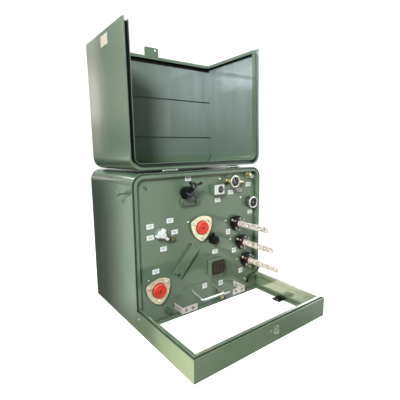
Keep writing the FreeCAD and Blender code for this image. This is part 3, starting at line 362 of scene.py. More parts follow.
def dial_face():
    return surface("dial_face", (0.008, 0.009, 0.026), (0.014, 0.014, 0.028),
                   edge_colour=(0.05, 0.05, 0.08), roughness=0.6, patch=0.01, grain=0.0006, bump=0.05,
                   edge=0.0005, specular=0.2)


def lens():
    """Clear disc: mostly transparent, with a smudged gloss."""
    material = surface("lens", (0.80, 0.85, 0.86), (0.70, 0.76, 0.78), edge_colour=(0.9, 0.95, 0.95),
                       roughness=0.06, patch=0.01, grain=0.003, bump=0.01, edge=0.0005)
    _, bsdf = shader_of(material)
    bsdf.inputs["Alpha"].default_value = 0.06
    bsdf.inputs["IOR"].default_value = 1.3
    return material


def enamel():
    return surface("needle_enamel", (0.88, 0.88, 0.84), (0.80, 0.80, 0.76), edge_colour=(0.95, 0.95, 0.95),
                   roughness=0.4, patch=0.005, grain=0.0005, bump=0.04, edge=0.0003)


def label_film():
    return surface("label_film", (0.95, 0.97, 0.97), (0.86, 0.89, 0.88), edge_colour=(0.80, 0.84, 0.80),
                   roughness=0.45, grain=0.0015, bump=0.03, edge_amount=0.5, painted_crevice_shade=0.1)


def print_grey():
    return surface("print_grey", (0.30, 0.32, 0.31), (0.42, 0.44, 0.42), edge_colour=(0.45, 0.45, 0.45),
                   roughness=0.5, patch=0.004, mottle=0.9, bump=0.02, edge=0.0003)


def print_dim():
    return surface("print_dim", (0.13, 0.115, 0.09), (0.09, 0.08, 0.06), edge_colour=(0.16, 0.15, 0.12),
                   roughness=0.4, metallic=0.5, patch=0.004, bump=0.02, edge=0.0003)


def sticker_paper():
    """Old cream sticker, with a browned patch."""
    return surface("sticker_paper", (0.80, 0.74, 0.60), (0.52, 0.44, 0.32), edge_colour=(0.9, 0.86, 0.74),
                   roughness=0.55, patch=0.012, mottle=0.8, grain=0.002)


def foam():
    """Matt black for strips of painted shade."""
    return surface("foam", (0.006, 0.006, 0.006), (0.012, 0.012, 0.012), edge_colour=(0.02, 0.02, 0.02),
                   roughness=0.9, patch=0.01, bump=0.3, edge=0.0005)


def studs():
    """Bright zinc studs; the two at the left corners are painted over."""
    material = surface("studs", (0.80, 0.82, 0.80), (0.62, 0.64, 0.60), edge_colour=(0.9, 0.9, 0.9),
                       roughness=0.30, metallic=0.6, patch=0.01, grain=0.0008, bump=0.08)
    tree, bsdf = shader_of(material)
    left_x, middle_z, corner_dz = -0.2, 0.35, 0.26
    x, _, z = add(tree, "ShaderNodeSeparateXYZ", {0: place(tree)}).outputs
    off_middle = calc(tree, "ABSOLUTE", calc(tree, "SUBTRACT", z, middle_z))
    painted = calc(tree, "MULTIPLY", calc(tree, "LESS_THAN", x, left_x),
                   calc(tree, "GREATER_THAN", off_middle, corner_dz))
    before = bsdf.inputs["Base Color"].links[0].from_socket
    join(tree, mix(tree, painted, before, (0.10, 0.15, 0.11)), bsdf.inputs["Base Color"])
    join(tree, stretch(tree, painted, 0.0, 1.0, 0.6, 0.0), bsdf.inputs["Metallic"])
    return material


def print_white():
    return surface("print_white", (0.85, 0.85, 0.83), (0.75, 0.75, 0.73), edge_colour=(0.9, 0.9, 0.9),
                   roughness=0.5, patch=0.004, bump=0.02, edge=0.0003)


def print_red():
    return surface("print_red", (0.70, 0.06, 0.04), (0.60, 0.05, 0.04), edge_colour=(0.8, 0.2, 0.2),
                   roughness=0.5, patch=0.004, bump=0.02, edge=0.0003)


def nameplate_metal():
    return surface("nameplate_metal", (0.034, 0.030, 0.023), (0.060, 0.052, 0.040),
                   edge_colour=(0.35, 0.33, 0.28), roughness=0.33, metallic=0.4, patch=0.03, mottle=0.8,
                   grain=0.0008, bump=0.05, edge=0.0010, stretch_by=(0.2, 1, 1))


# Black rubber of the winding leads, and also the black of the painted shade on the caps and hood.
def rubber():
    return surface("black_rubber", (0.014, 0.014, 0.014), (0.030, 0.030, 0.028),
                   edge_colour=(0.06, 0.06, 0.06), roughness=0.5, grain=0.0012, bump=0.12, edge=0.0006)


def core_steel():
    """Stacked strip: fine bands across the core's depth."""
    material = surface("core_steel", (0.24, 0.25, 0.28), (0.34, 0.33, 0.31), edge_colour=(0.5, 0.5, 0.5),
                       roughness=0.42, metallic=0.9, patch=0.05, grain=0.002, bump=0.08, edge=0.001)
    ripples(material, "Y", scale=320.0, strength=0.25, distance=0.0008, distortion=0.6)
    return material


def winding_paper():
    """Crepe paper over the coils, in layers along Z."""
    material = surface("winding_paper", (0.50, 0.33, 0.17), (0.62, 0.44, 0.25),
                       edge_colour=(0.7, 0.55, 0.35), roughness=0.75, patch=0.04, grain=0.0015, bump=0.25,
                       edge=0.001)
    ripples(material, "Z", scale=60.0, strength=0.3, distance=0.001, distortion=1.5)
    return material


MATERIALS = {make.__name__: make() for make in (
    green_paint, hood_paint, zinc, threaded_zinc, yellow_zinc, dark_steel, tinned, brass, black_moulding,
    brown_moulding, red_cap, white_moulding, gauge_steel, pale_bezel, latch_steel, dial_face, lens, enamel,
    label_film, print_grey, print_white, print_red, nameplate_metal, rubber, core_steel, winding_paper,
    thermometer_case, tap_body, strap_rubber, bronze, cream_bezel, print_dim, sticker_paper, foam, studs)}

# Which material each carried-over CAD node wears.
WEARS = {
    "green_paint": ["tank_wrap", "tank_back_panel", "tank_floor", "front_plate", "front_lip_frame",
                    "sill_frame", "lifting_lugs", "tank_hinge_leaves", "hood_rim_lip", "hood_base_flange",
                    "hood_hasp", "hood_hinge_leaves", "drip_tray", "nameplate_box", "parking_stand"],
    "hood_paint": ["hood_wrap", "hood_front_panel", "hood_ribs"],
    "dark_steel": ["tie_down_cleats", "lv_clamp_plates", "core_clamps"],
    "latch_steel": ["latch_fitting"],
    "zinc": ["hinge_pins", "security_bolt", "relief_ring", "drain_handle", "ground_rod"],
    "studs": ["plate_studs"],
    "threaded_zinc": ["clamp_studs"],
    "yellow_zinc": ["hv_clamp_plates"],
    "brown_moulding": ["hv_bushing_wells", "lv_insulators"],
    "black_moulding": ["fuse_housing", "fuse_holder", "load_switch", "switch_knob"],
    "tap_body": ["tap_changer"],
    "red_cap": ["hv_cap_upper", "hv_cap_lower"],
    "white_moulding": ["tap_handle"],
    "thermometer_case": ["thermometer"],
    "bronze": ["tap_lock"],
    "tinned": ["lv_spades", "ground_bars"],
    "brass": ["pressure_gauge", "relief_valve", "drain_valve"],
    "gauge_steel": ["level_gauge"],
    "dial_face": ["gauge_dials"],
    "lens": ["gauge_lenses"],
    "enamel": ["pressure_needle", "level_needle", "temperature_needle"],
    "nameplate_metal": ["nameplate"],
    "label_film": ["label_plates"],
    "strap_rubber": ["ground_strap"],
    "rubber": ["winding_leads"],
    "core_steel": ["core_loops"],
    "winding_paper": ["lv_winding", "hv_winding"],
}


def dress(node, material):
    """Gives a CAD node its material."""
    obj = NODES[node]
    if obj.data.materials:
        for slot in obj.material_slots:
            slot.material = material
    else:
        obj.data.materials.append(material)


for wearing, nodes in WEARS.items():
    for node in nodes:
        dress(node, MATERIALS[wearing])


# ---- where things are, read from the frame ----

def islands(node):
    """Boxes of the separate solids in a node, each (lowest corner, highest corner)."""
    mesh = NODES[node].data
    owner = {}
    keys = [tuple(round(c, 5) for c in v.co) for v in mesh.vertices]

    def root(key):
        while owner[key] != key:
            owner[key] = owner[owner[key]]
            key = owner[key]
        return key

    for key in keys:
        owner.setdefault(key, key)
    for polygon in mesh.polygons:
        first = root(keys[polygon.vertices[0]])
        for index in polygon.vertices[1:]:
            owner[root(keys[index])] = first
    boxes = {}
    for key in owner:
        top = root(key)
        lo, hi = boxes.get(top, (key, key))
        boxes[top] = (tuple(map(min, lo, key)), tuple(map(max, hi, key)))
    return [(Vector(lo), Vector(hi)) for lo, hi in boxes.values()]


def middle(box):
    """Centre of a (lowest corner, highest corner) box."""
    return (box[0] + box[1]) / 2


def front_centre(box):
    """Middle of the face of a box that looks out of the compartment."""
    centre = middle(box)
    return Vector((centre.x, box[0].y, centre.z))


def round_spots(count, start, end):
    """Evenly spaced angles, in degrees clockwise from straight up, each with its unit vector."""
    for i in range(count):
        angle = start + (end - start) * i / (count - 1)
        turn = math.radians(angle)
        yield angle, Vector((math.sin(turn), 0, math.cos(turn)))


# ---- mesh building blocks ----

def piece(name, mesh, material, body, smooth=True):
    """Turns a bmesh into a named piece that rides on a CAD body."""
    bmesh.ops.recalc_face_normals(mesh, faces=mesh.faces)
    data = bpy.data.meshes.new(name)
    mesh.to_mesh(data)
    mesh.free()
    obj = bpy.data.objects.new(name, data)
    bpy.context.scene.collection.objects.link(obj)
    data.materials.append(MATERIALS[material])
    if smooth:
        for polygon in data.polygons:
            polygon.use_smooth = True
        crease = obj.modifiers.new("hard_corners", "WEIGHTED_NORMAL")
        crease.keep_sharp = True
    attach(obj, body)
    return obj


def spokes_round(direction, count):
    """A direction made 1 long, and unit vectors evenly spaced round it."""
    d = Vector(direction).normalized()
    side = d.cross(UP if abs(d.z) < 0.9 else RIGHT).normalized()
    across = d.cross(side).normalized()
    angles = [2 * math.pi * i / count for i in range(count)]
    return d, [side * math.cos(a) + across * math.sin(a) for a in angles]


def slab(mesh, centre, size, turn=0.0):
    """Box with its centre and size, turned about Y by turn degrees."""
    made = bmesh.ops.create_cube(mesh, size=1.0)["verts"]
    bmesh.ops.scale(mesh, vec=size, verts=made)
    bmesh.ops.rotate(mesh, cent=(0, 0, 0), matrix=Matrix.Rotation(math.radians(turn), 3, "Y"), verts=made)
    bmesh.ops.translate(mesh, vec=centre, verts=made)


def turned(mesh, base, direction, profile, sides):
    """Ring turned about an axis. The profile goes round its section as (distance along, radius) points."""
    d, spokes = spokes_round(direction, sides)
    rings = []
    for spoke in spokes:
        rings.append([mesh.verts.new(base + d * along + spoke * radius) for along, radius in profile])
    for i, ring in enumerate(rings):
        beside = rings[(i + 1) % sides]
        for j in range(len(profile)):
            k = (j + 1) % len(profile)
            mesh.faces.new((ring[j], ring[k], beside[k], beside[j]))


def dome(mesh, base, direction, radius, height):
    """Low domed head that stands on a surface."""
    sides, rings = 16, 4
    d, spokes = spokes_round(direction, sides)
    tip = mesh.verts.new(base + d * height)
    loops = []
    for r in range(1, rings + 1):
        tilt = math.pi / 2 * r / rings
        level = base + d * height * math.cos(tilt)
        loops.append([mesh.verts.new(level + spoke * radius * math.sin(tilt)) for spoke in spokes])
    for i in range(sides):
        j = (i + 1) % sides
        mesh.faces.new((tip, loops[0][i], loops[0][j]))
        for a, b in zip(loops, loops[1:]):
            mesh.faces.new((a[i], b[i], b[j], a[j]))
    mesh.faces.new(list(reversed(loops[-1])))


def bead(mesh, points, radius, rng):
    """Weld bead along a line of points, with its small ripples and pinched ends."""
    step, sides = 0.004, 8
    path = []
    for a, b in zip(points, points[1:]):
        count = max(2, int((b - a).length / step))
        path += [a.lerp(b, i / count) for i in range(count)]
    path.append(points[-1])
    loops = []
    for i, at in enumerate(path):
        ahead = path[min(i + 1, len(path) - 1)] - path[max(i - 1, 0)]
        _, spokes = spokes_round(ahead, sides)
        swell = radius * (1 + 0.16 * math.cos(math.pi * i) + rng.uniform(-0.08, 0.08))
        if i in (0, len(path) - 1):
            swell *= 0.4
        loops.append([mesh.verts.new(at + spoke * swell) for spoke in spokes])
    for a, b in zip(loops, loops[1:]):
        for k in range(sides):
            n = (k + 1) % sides
            mesh.faces.new((a[k], a[n], b[n], b[k]))
    mesh.faces.new(list(reversed(loops[0])))
    mesh.faces.new(loops[-1])


# ---- labels: blank printed bars, no lettering ----

PRINT_PROUD = 0.0001              # how far printed marks stand out from what they are printed on
PRINT_T = 0.0002                  # their whole thickness, half of it sunk in


def label_print():
    """Two grey print bars on each blank label."""
    mesh = bmesh.new()
    for lo, hi in islands("label_plates"):
        width, height = hi.x - lo.x, hi.z - lo.z
        for level, share in ((0.66, 0.70), (0.36, 0.52)):
            centre = Vector((lo.x + width * 0.5, lo.y - PRINT_PROUD, lo.z + height * level))
            slab(mesh, centre, (width * share, PRINT_T, height * 0.13))
    piece("label_print", mesh, "print_grey", "tank", smooth=False)


def nameplate_print():
    """Blank rows in two columns on the nameplate, and a rivet at each corner."""
    lo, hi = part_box("nameplate")
    width, height = hi.x - lo.x, hi.z - lo.z
    rows, columns = 7, ((0.34, 0.42), (0.76, 0.24))
    mesh = bmesh.new()
    for row in range(rows):
        z = hi.z - height * (0.20 + 0.105 * row)
        for middle_share, width_share in columns:
            at = Vector((lo.x + width * middle_share, lo.y - PRINT_PROUD, z))
            slab(mesh, at, (width * width_share, PRINT_T, 0.0016))
    piece("nameplate_rows", mesh, "print_dim", "tank", smooth=False)
    mesh = bmesh.new()
    inset = 0.005
    for x in (lo.x + inset, hi.x - inset):
        for z in (lo.z + inset, hi.z - inset):
            dome(mesh, Vector((x, lo.y, z)), OUT, radius=0.0024, height=0.0014)
    piece("nameplate_rivets", mesh, "zinc", "tank")


# ---- gauges ----

def dials():
    """Dial discs of the gauges as (centre of the front face, radius), from widest to smallest."""
    found = [(front_centre(box), (box[1].x - box[0].x) / 2) for box in islands("gauge_dials")]
    return sorted(found, key=lambda dial: dial[1], reverse=True)


def dial_marks(name, centre, radius, start, end, count, red_from):
    """Ticks round a dial between two angles, red from a share of the way on. Every fifth is longer."""
    white, red = bmesh.new(), bmesh.new()
    for i, (angle, spoke) in enumerate(round_spots(count + 1, start, end)):
        major = i % 5 == 0
        length = radius * (0.20 if major else 0.12)
        width = radius * (0.05 if major else 0.028)
        at = centre + spoke * (radius * 0.90 - length / 2) + OUT * PRINT_PROUD
        slab(red if i / count >= red_from else white, at, (width, PRINT_T, length), angle)
    piece(name, white, "print_white", "tank", smooth=False)
    piece(name + "_limit", red, "print_red", "tank", smooth=False)


def digits(name, centre, radius, start, end, values, size):
    """Plain numbers round a dial."""
    data = bpy.data.curves.new(name + "_font", "FONT")
    data.align_x = "CENTER"
    data.align_y = "CENTER"
    data.size = size
    data.extrude = PRINT_PROUD
    data.resolution_u = 3
    mesh = bmesh.new()
    writer = bpy.data.objects.new(name + "_writer", data)
    bpy.context.scene.collection.objects.link(writer)
    for value, (_, spoke) in zip(values, round_spots(len(values), start, end)):
        data.body = str(value)
        at = centre + spoke * radius + OUT * PRINT_PROUD
        bpy.context.view_layer.update()
        written = writer.evaluated_get(bpy.context.evaluated_depsgraph_get())
        shape = bpy.data.meshes.new_from_object(written)
        shape.transform(Matrix.Translation(at) @ Matrix.Rotation(math.radians(90), 4, "X"))
        mesh.from_mesh(shape)
        bpy.data.meshes.remove(shape)
    bpy.data.objects.remove(writer)
    bpy.data.curves.remove(data)
    piece(name, mesh, "print_white", "tank", smooth=False)


def bezel(name, dial, case_r, material):
    """Rolled rim that holds a gauge's lens."""
    centre, dial_r = dial
    lens_box = min(islands("gauge_lenses"), key=lambda box: abs(middle(box).x - centre.x))
    inner, outer = dial_r - 0.0015, case_r + 0.0006
    seat, back = case_r - 0.0002, -0.0060
    profile = [(0.0003, inner), (0.0016, inner + 0.0006), (0.0026, (inner + outer) / 2),
               (0.0018, outer - 0.0008), (-0.0005, outer), (back, outer), (back, seat), (0.0, seat),
               (0.0, inner)]
    mesh = bmesh.new()
    turned(mesh, Vector((centre.x, lens_box[0].y, centre.z)), OUT, profile, sides=64)
    piece(name, mesh, material, "tank")


def half_height(node):
    """Half the height of a node's box."""
    lo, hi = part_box(node)
    return (hi.z - lo.z) / 2


def gauge_details():
    """Ticks, numbers and bezels of the three gauges."""
    level, pressure, thermo = dials()
    start, end = -135, 135
    dial_marks("pressure_marks", *pressure, start, end, count=30, red_from=0.8)
    numbers_r = pressure[1] * 0.52
    digits("pressure_numbers", pressure[0], numbers_r, start, end, (-10, -5, 0, 5, 10), size=0.0062)
    dial_marks("level_marks", *level, start=-150, end=30, count=10, red_from=0.85)
    dial_marks("thermometer_marks", *thermo, start, end, count=20, red_from=0.85)
    numbers_r = thermo[1] * 0.50
    digits("thermometer_numbers", thermo[0], numbers_r, start, end, (0, 40, 80, 120), size=0.0042)
    bezel("level_bezel", level, half_height("level_gauge"), "pale_bezel")
    bezel("pressure_bezel", pressure, half_height("pressure_gauge"), "cream_bezel")
    bezel("thermometer_bezel", thermo, thermo[1] + 0.002, "black_moulding")


label_print()
nameplate_print()
gauge_details()


# ---- caps, knobs and handles ----

RED_CAPS = ("hv_cap_upper", "hv_cap_lower")


def cap_rings():
    """Moulded ring and centre button ring on each red cap."""
    for node in RED_CAPS:
        lo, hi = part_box(node)
        radius = (hi.x - lo.x) / 2
        mesh = bmesh.new()
        for ring_r, thick in ((radius * 0.66, 0.0022), (radius * 0.26, 0.0018)):
            profile = [(-0.0006, ring_r - thick), (0.0010, ring_r - thick * 0.5), (0.0013, ring_r),
                       (0.0010, ring_r + thick * 0.5), (-0.0006, ring_r + thick)]
            turned(mesh, front_centre((lo, hi)), OUT, profile, sides=48)
        piece(node + "_rings", mesh, "red_cap", node)


def cap_sockets():
    """Flat black disc at the middle of each red cap: painted shade for its centre hole."""
    for node in RED_CAPS:
        mesh = bmesh.new()
        profile = [(0.0004, 0.0), (0.0004, 0.0052), (-0.0004, 0.0062)]
        turned(mesh, front_centre(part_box(node)), OUT, profile, sides=24)
        # The disc is painted shade, not a hollow.
        piece(node + "_socket", mesh, "rubber", node)


def switch_marks():
    """White pointer line on the load switch knob."""
    lo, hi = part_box("switch_knob")
    grip_y, line_z = lo.y + 0.0099, hi.z - 0.009
    mesh = bmesh.new()
    slab(mesh, Vector(((lo.x + hi.x) / 2, grip_y, line_z)), (0.0022, 0.0003, 0.014))
    piece("switch_pointer_line", mesh, "print_white", "switch_knob", smooth=False)


def tap_marks():
    """Five index marks round the tap handle."""
    tap = next(j for j in frame["joints"] if j["name"] == "tap_select")
    centre, marks_r = Vector(tap["pos_m"]), 0.0295
    mesh = bmesh.new()
    for angle, spoke in round_spots(5, -144, 144):
        slab(mesh, centre + spoke * marks_r + OUT * PRINT_PROUD, (0.0014, PRINT_T, 0.004), angle)
    piece("tap_index_marks", mesh, "print_white", "tank", smooth=False)


# Half the thickness of the bar round each bolt-hole mount, by how the mount's name starts.
BAR_HALF_T = {"lv_spade": 0.00475, "left_ground": 0.003, "right_ground": 0.003}


def bar_hole_rims():
    """Dark rims round the bolt holes of the spades and ground bars, on both faces: tarnish, and painted shade that
    darkens the holes.
    """
    mesh = bmesh.new()
    for mount in frame["record"]["mounts"]:
        half_t = next((t for start, t in BAR_HALF_T.items() if mount["name"].startswith(start)), None)
        if half_t is None:
            continue
        centre, across = Vector(mount["pos_m"]), Vector(mount["axis"])
        along = OUT if abs(across.x) > 0.5 else RIGHT
        hole_r, half_pitch = mount["dims"]["hole_r_mm"] * MM, mount["dims"]["spacing_x_mm"] * MM / 2
        sunk, proud = -0.0003, 0.0002
        profile = [(sunk, hole_r), (proud, hole_r), (proud, hole_r + 0.0016), (sunk, hole_r + 0.0020)]
        for face in (across, -across):
            for side in (-half_pitch, half_pitch):
                turned(mesh, centre + along * side + face * half_t, face, profile, sides=24)
    piece("bar_hole_rims", mesh, "dark_steel", "tank", smooth=False)


bar_hole_rims()
cap_rings()
cap_sockets()
switch_marks()
tap_marks()


# ---- screws ----

def screw_heads():
    """Domed screw heads: thermometer face, drip tray and sill joints."""
    mesh = bmesh.new()
    lo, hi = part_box("thermometer")
    face_left, face_right = lo.x + 0.019, hi.x - 0.007
    for x in (face_left, face_right):
        for z in (lo.z + 0.008, hi.z - 0.008):
            dome(mesh, Vector((x, lo.y, z)), OUT, radius=0.0024, height=0.0014)
    lo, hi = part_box("drip_tray")
    for x in (lo.x + 0.012, hi.x - 0.012):
        dome(mesh, Vector((x, hi.y - 0.002, hi.z - 0.008)), OUT, radius=0.0034, height=0.002)
    sill_lo, sill_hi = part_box("sill_frame")
    for side in (sill_lo.x, sill_hi.x):
        away = -RIGHT if side < 0 else RIGHT
        screw = Vector((side, sill_hi.y - 0.040, 0.072))
        dome(mesh, screw, away, radius=0.005, height=0.0026)
    piece("screw_heads", mesh, "zinc", "tank")


screw_heads()


# ---- weld beads ----

def tank_welds():
    """Beads where the sill meets the tank, round the lifting studs, and under the hinge leaves."""
    rng = random.Random(7)
    mesh = bmesh.new()
    sill_lo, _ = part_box("sill_frame")
    tank_lo, tank_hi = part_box("tank_wrap")
    wall = 0.003
    for side in (-1, 1):
        x = side * tank_hi.x - side * wall * 0.3
        bead(mesh, [Vector((x, tank_lo.y, 0.004)), Vector((x, tank_lo.y, 0.098))], 0.0018, rng)
        inner, corner_y = side * (tank_hi.x - wall), sill_lo.y + wall
        bead(mesh, [Vector((inner, corner_y, 0.006)), Vector((inner, corner_y, 0.090))], 0.002, rng)
    stud_r, steps = 0.0165, 24
    for box in islands("lifting_lugs"):
        centre = middle(box)
        side = 1 if centre.x > 0 else -1
        ring = []
        for i in range(steps + 1):
            a = 2 * math.pi * i / steps
            ring.append(Vector((side * tank_hi.x, centre.y + stud_r * math.cos(a),
                                centre.z + stud_r * math.sin(a))))
        bead(mesh, ring, 0.0022, rng)
    for lo, hi in islands("tank_hinge_leaves"):
        bead(mesh, [Vector((lo.x, hi.y, lo.z)), Vector((hi.x, hi.y, lo.z))], 0.002, rng)
    piece("tank_weld_beads", mesh, "green_paint", "tank")


def back_seam():
    """Bead round the back panel, just inside the wrap."""
    rng = random.Random(11)
    lo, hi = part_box("tank_back_panel")
    radius, steps = 0.059, 8
    y = hi.y - 0.0006
    path = [Vector((lo.x, y, 0.006)), Vector((lo.x, y, hi.z - radius))]
    for i in range(1, steps + 1):
        a = math.pi / 2 * i / steps
        path.append(Vector((lo.x + radius * (1 - math.cos(a)), y, hi.z - radius * (1 - math.sin(a)))))
    path += [Vector((-p.x, p.y, p.z)) for p in reversed(path)]
    mesh = bmesh.new()
    bead(mesh, path, 0.0016, rng)
    piece("back_weld_seam", mesh, "green_paint", "tank")


tank_welds()
back_seam()


# ---- on the hood, in the CAD's millimetres with the hood closed ----

HALF_W = 432.0                    # from the middle to the outside of the hood's wall
FRONT = -520.0                    # outside of its front panel
REAR = -37.0                      # rear edge of its walls
FOOT = 103.0                      # lower edge of its walls
TOP = 784.0
BEND = 62.0                       # outside radius of its top edges
SHEET = 2.5
RIB_MIDDLES = (345.0, 590.0)
RIB_HALF_H = 8.0
INNER_HALF_W = HALF_W - SHEET
INNER_FRONT = FRONT + SHEET
SWING = next(j for j in frame["joints"] if j["name"] == "hood_swing")


def when_open(x, y, z):
    """Point of the closed hood, in millimetres, carried to where it is with the hood open, in metres."""
    hinge = Vector(SWING["pos_m"])
    turn = Matrix.Rotation(math.radians(-OPEN_ANGLE), 3, "X")
    return hinge + turn @ (Vector((x, y, z)) * MM - hinge)


def hood_block(mesh, x0, x1, y0, y1, z0, z1):
    """Box given in the closed hood's place."""
    corners = [mesh.verts.new(when_open(x, y, z)) for x in (x0, x1) for y in (y0, y1) for z in (z0, z1)]
    for face in ((0, 1, 3, 2), (4, 6, 7, 5), (0, 4, 5, 1), (2, 3, 7, 6), (0, 2, 6, 4), (1, 5, 7, 3)):
        mesh.faces.new([corners[i] for i in face])


def hood_gasket():
    """Black strip round the inside of the hood, just above its base flange: painted shade cast by the flange."""
    mesh = bmesh.new()
    low, thick = FOOT + 10, 2
    hood_block(mesh, 1 - INNER_HALF_W, INNER_HALF_W - 1, INNER_FRONT, INNER_FRONT + thick, low, low + 34)
    for side in (-1, 1):
        x0, x1 = sorted((side * INNER_HALF_W, side * (INNER_HALF_W - thick)))
        hood_block(mesh, x0, x1, INNER_FRONT + 4, REAR - 33, low, low + 16)
    piece("hood_gasket", mesh, "foam", "hood", smooth=False)


def rim_path(inset):
    """Half of the hood's arch, left foot to middle, as (x, z) points at a distance in from its outside."""
    r, steps = BEND - inset, 8
    path = [(inset - HALF_W, FOOT + 11)]
    for i in range(steps + 1):
        a = math.pi / 2 * i / steps
        path.append((BEND - HALF_W - r * math.cos(a), TOP - BEND + r * math.sin(a)))
    return path + [(0, TOP - inset)]


def rim_gasket():
    """Black strip along the groove side of the hood's inner rim: painted shade in the groove."""
    mesh = bmesh.new()
    outer, inner = 26.6, 28
    near, far = REAR - 2, REAR - 24
    for side in (-1, 1):
        lines = [[mesh.verts.new(when_open(side * x, y, z)) for x, z in rim_path(inset)]
                 for inset, y in ((outer, near), (outer, far), (inner, far), (inner, near))]
        for one, two in zip(lines, lines[1:] + lines[:1]):
            for i in range(len(one) - 1):
                mesh.faces.new((one[i], one[i + 1], two[i + 1], two[i]))
        for end in (0, -1):
            mesh.faces.new([line[end] for line in lines])
    piece("hood_rim_shade_strip", mesh, "rubber", "hood", smooth=False)


def rib_seals():
    """Black line along each rib, on the side that is upper with the hood closed: painted shade beside the rib."""
    mesh = bmesh.new()
    for rib_z in RIB_MIDDLES:
        edge = rib_z + RIB_HALF_H
        hood_block(mesh, 9 - HALF_W, HALF_W - 9, INNER_FRONT, INNER_FRONT + 4, edge, edge + 4)
    piece("hood_rib_shade_lines", mesh, "rubber", "hood", smooth=False)


def hood_sticker():
    """Blank cream sticker on the outside of the hood's left wall."""
    mesh = bmesh.new()
    hood_block(mesh, -HALF_W - 0.4, -HALF_W, -303, -215, 121, 174)
    piece("hood_sticker", mesh, "sticker_paper", "hood", smooth=False)


def hood_welds():
    """Weld beads up the two inner front corners of the hood, and short ones at the ribs' ends."""
    rng = random.Random(3)
    mesh = bmesh.new()
    y = INNER_FRONT + 0.5
    for side in (-1, 1):
        x = side * (INNER_HALF_W - 0.5)
        bead(mesh, [when_open(x, y, 150), when_open(x, y, 715)], 0.0014, rng)
        start, end = side * (INNER_HALF_W - 6), side * (INNER_HALF_W - 30)
        for rib_z in RIB_MIDDLES:
            for z in (rib_z - RIB_HALF_H, rib_z + RIB_HALF_H):
                bead(mesh, [when_open(start, y, z), when_open(end, y, z)], 0.0016, rng)
    piece("hood_weld_beads", mesh, "hood_paint", "hood")


hood_gasket()
rim_gasket()
rib_seals()
hood_sticker()
hood_welds()


# ---- stage, light and camera ----

def stage_sheet(name, corners, material):
    """Flat four-cornered sheet that is part of the stage, out of sight in reflections."""
    data = bpy.data.meshes.new(name)
    data.from_pydata(corners, [], [(0, 1, 2, 3)])
    data.materials.append(material)
    obj = bpy.data.objects.new(name, data)
    bpy.context.scene.collection.objects.link(obj)
    obj.visible_glossy = False
    return obj


def floor():
    """Plain pale floor. It glows a little for the camera and bounces less light than it shows."""
    material = new_material("pale_floor")
    tree, bsdf = shader_of(material)
    tree.nodes.remove(bsdf)
    output = next(n for n in tree.nodes if n.type == "OUTPUT_MATERIAL")
    soft = stretch(tree, noise(tree, 0.8, 2.0), 0.3, 0.7)
    pale = mix(tree, soft, (0.46, 0.46, 0.46), (0.45, 0.45, 0.45))
    lit = add(tree, "ShaderNodeBsdfDiffuse", {"Color": pale}).outputs[0]
    glow = add(tree, "ShaderNodeEmission", {"Color": (0.92, 0.92, 0.92, 1.0)}).outputs[0]
    seen = add(tree, "ShaderNodeAddShader", {0: lit, 1: glow}).outputs[0]
    bounced = add(tree, "ShaderNodeBsdfDiffuse", {"Color": (0.35, 0.31, 0.21, 1.0)}).outputs[0]
    by_camera = add(tree, "ShaderNodeLightPath").outputs["Is Camera Ray"]
    both = add(tree, "ShaderNodeMixShader", {0: by_camera, 1: bounced, 2: seen}).outputs[0]
    join(tree, both, output.inputs["Surface"])
    half, below_pad = 30.0, 0.0005
    corners = [(-half, -half, 0), (half, -half, 0), (half, half, 0), (-half, half, 0)]
    stage_sheet("floor", corners, material).location.z = -below_pad


def shade_card():
    """Dark card by the left wall, seen only by diffuse light, that darkens the rear of that wall."""
    material = new_material("card")
    tree, bsdf = shader_of(material)
    dark = mix(tree, noise(tree, 0.3, 2.0), (0.02, 0.03, 0.025), (0.04, 0.05, 0.045))
    join(tree, dark, bsdf.inputs["Base Color"])
    bsdf.inputs["Roughness"].default_value = 0.9
    x, near, far, top, slant = -0.80, -0.345, 0.9, 1.08, 0.10
    corners = [(x, near, 0), (x, far, 0), (x, far, top), (x, near + slant, top)]
    stage_sheet("shade_card", corners, material).visible_camera = False


# What the glossy paint mirrors, as (bearing, brightness, tint). Bearings 0 and 1 are behind (+Y), 0.25 is
# left (-X), 0.5 is straight ahead (-Y) and 0.75 is right (+X). UNDER is for steeply down, LOW for below
# the horizon and HIGH for above it.
YELLOW = (1.0, 0.95, 0.60)
BLUE = (0.92, 1.0, 1.10)
PINK = (1.0, 0.85, 0.80)
MINT = (0.82, 1.0, 0.86)
STRAW = (1.0, 0.94, 0.76)
UNDER_BANDS = [
    (0.000, 0.1), (0.070, 0.3, YELLOW), (0.080, 0.5, YELLOW), (0.088, 1.4, YELLOW), (0.097, 2.1, YELLOW),
    (0.12, 2.5, YELLOW), (0.20, 1.2), (0.40, 0.4), (0.55, 0.2), (0.604, 0.2), (0.617, 0.02),
    (0.629, 0.30), (0.640, 0.15), (0.648, 0.0), (0.654, 0.05), (0.661, 0.6), (0.70, 0.6), (1.0, 0.2)]
LOW_BANDS = [
    (0.000, 0.05), (0.0562, 0.05), (0.0572, 0.42, MINT), (0.061, 0.50, MINT), (0.0665, 1.5, MINT),
    (0.075, 1.2), (0.10, 1.4), (0.122, 1.4), (0.130, 6.5, STRAW), (0.150, 5.5, STRAW),
    (0.157, 2.5, STRAW), (0.18, 1.0), (0.35, 0.8), (0.50, 0.6), (0.565, 1.5), (0.581, 1.5), (0.590, 0.6),
    (0.600, 1.3), (0.605, 1.2), (0.617, 1.8), (0.626, 1.4), (0.66, 1.0), (0.80, 0.8), (1.0, 0.2)]
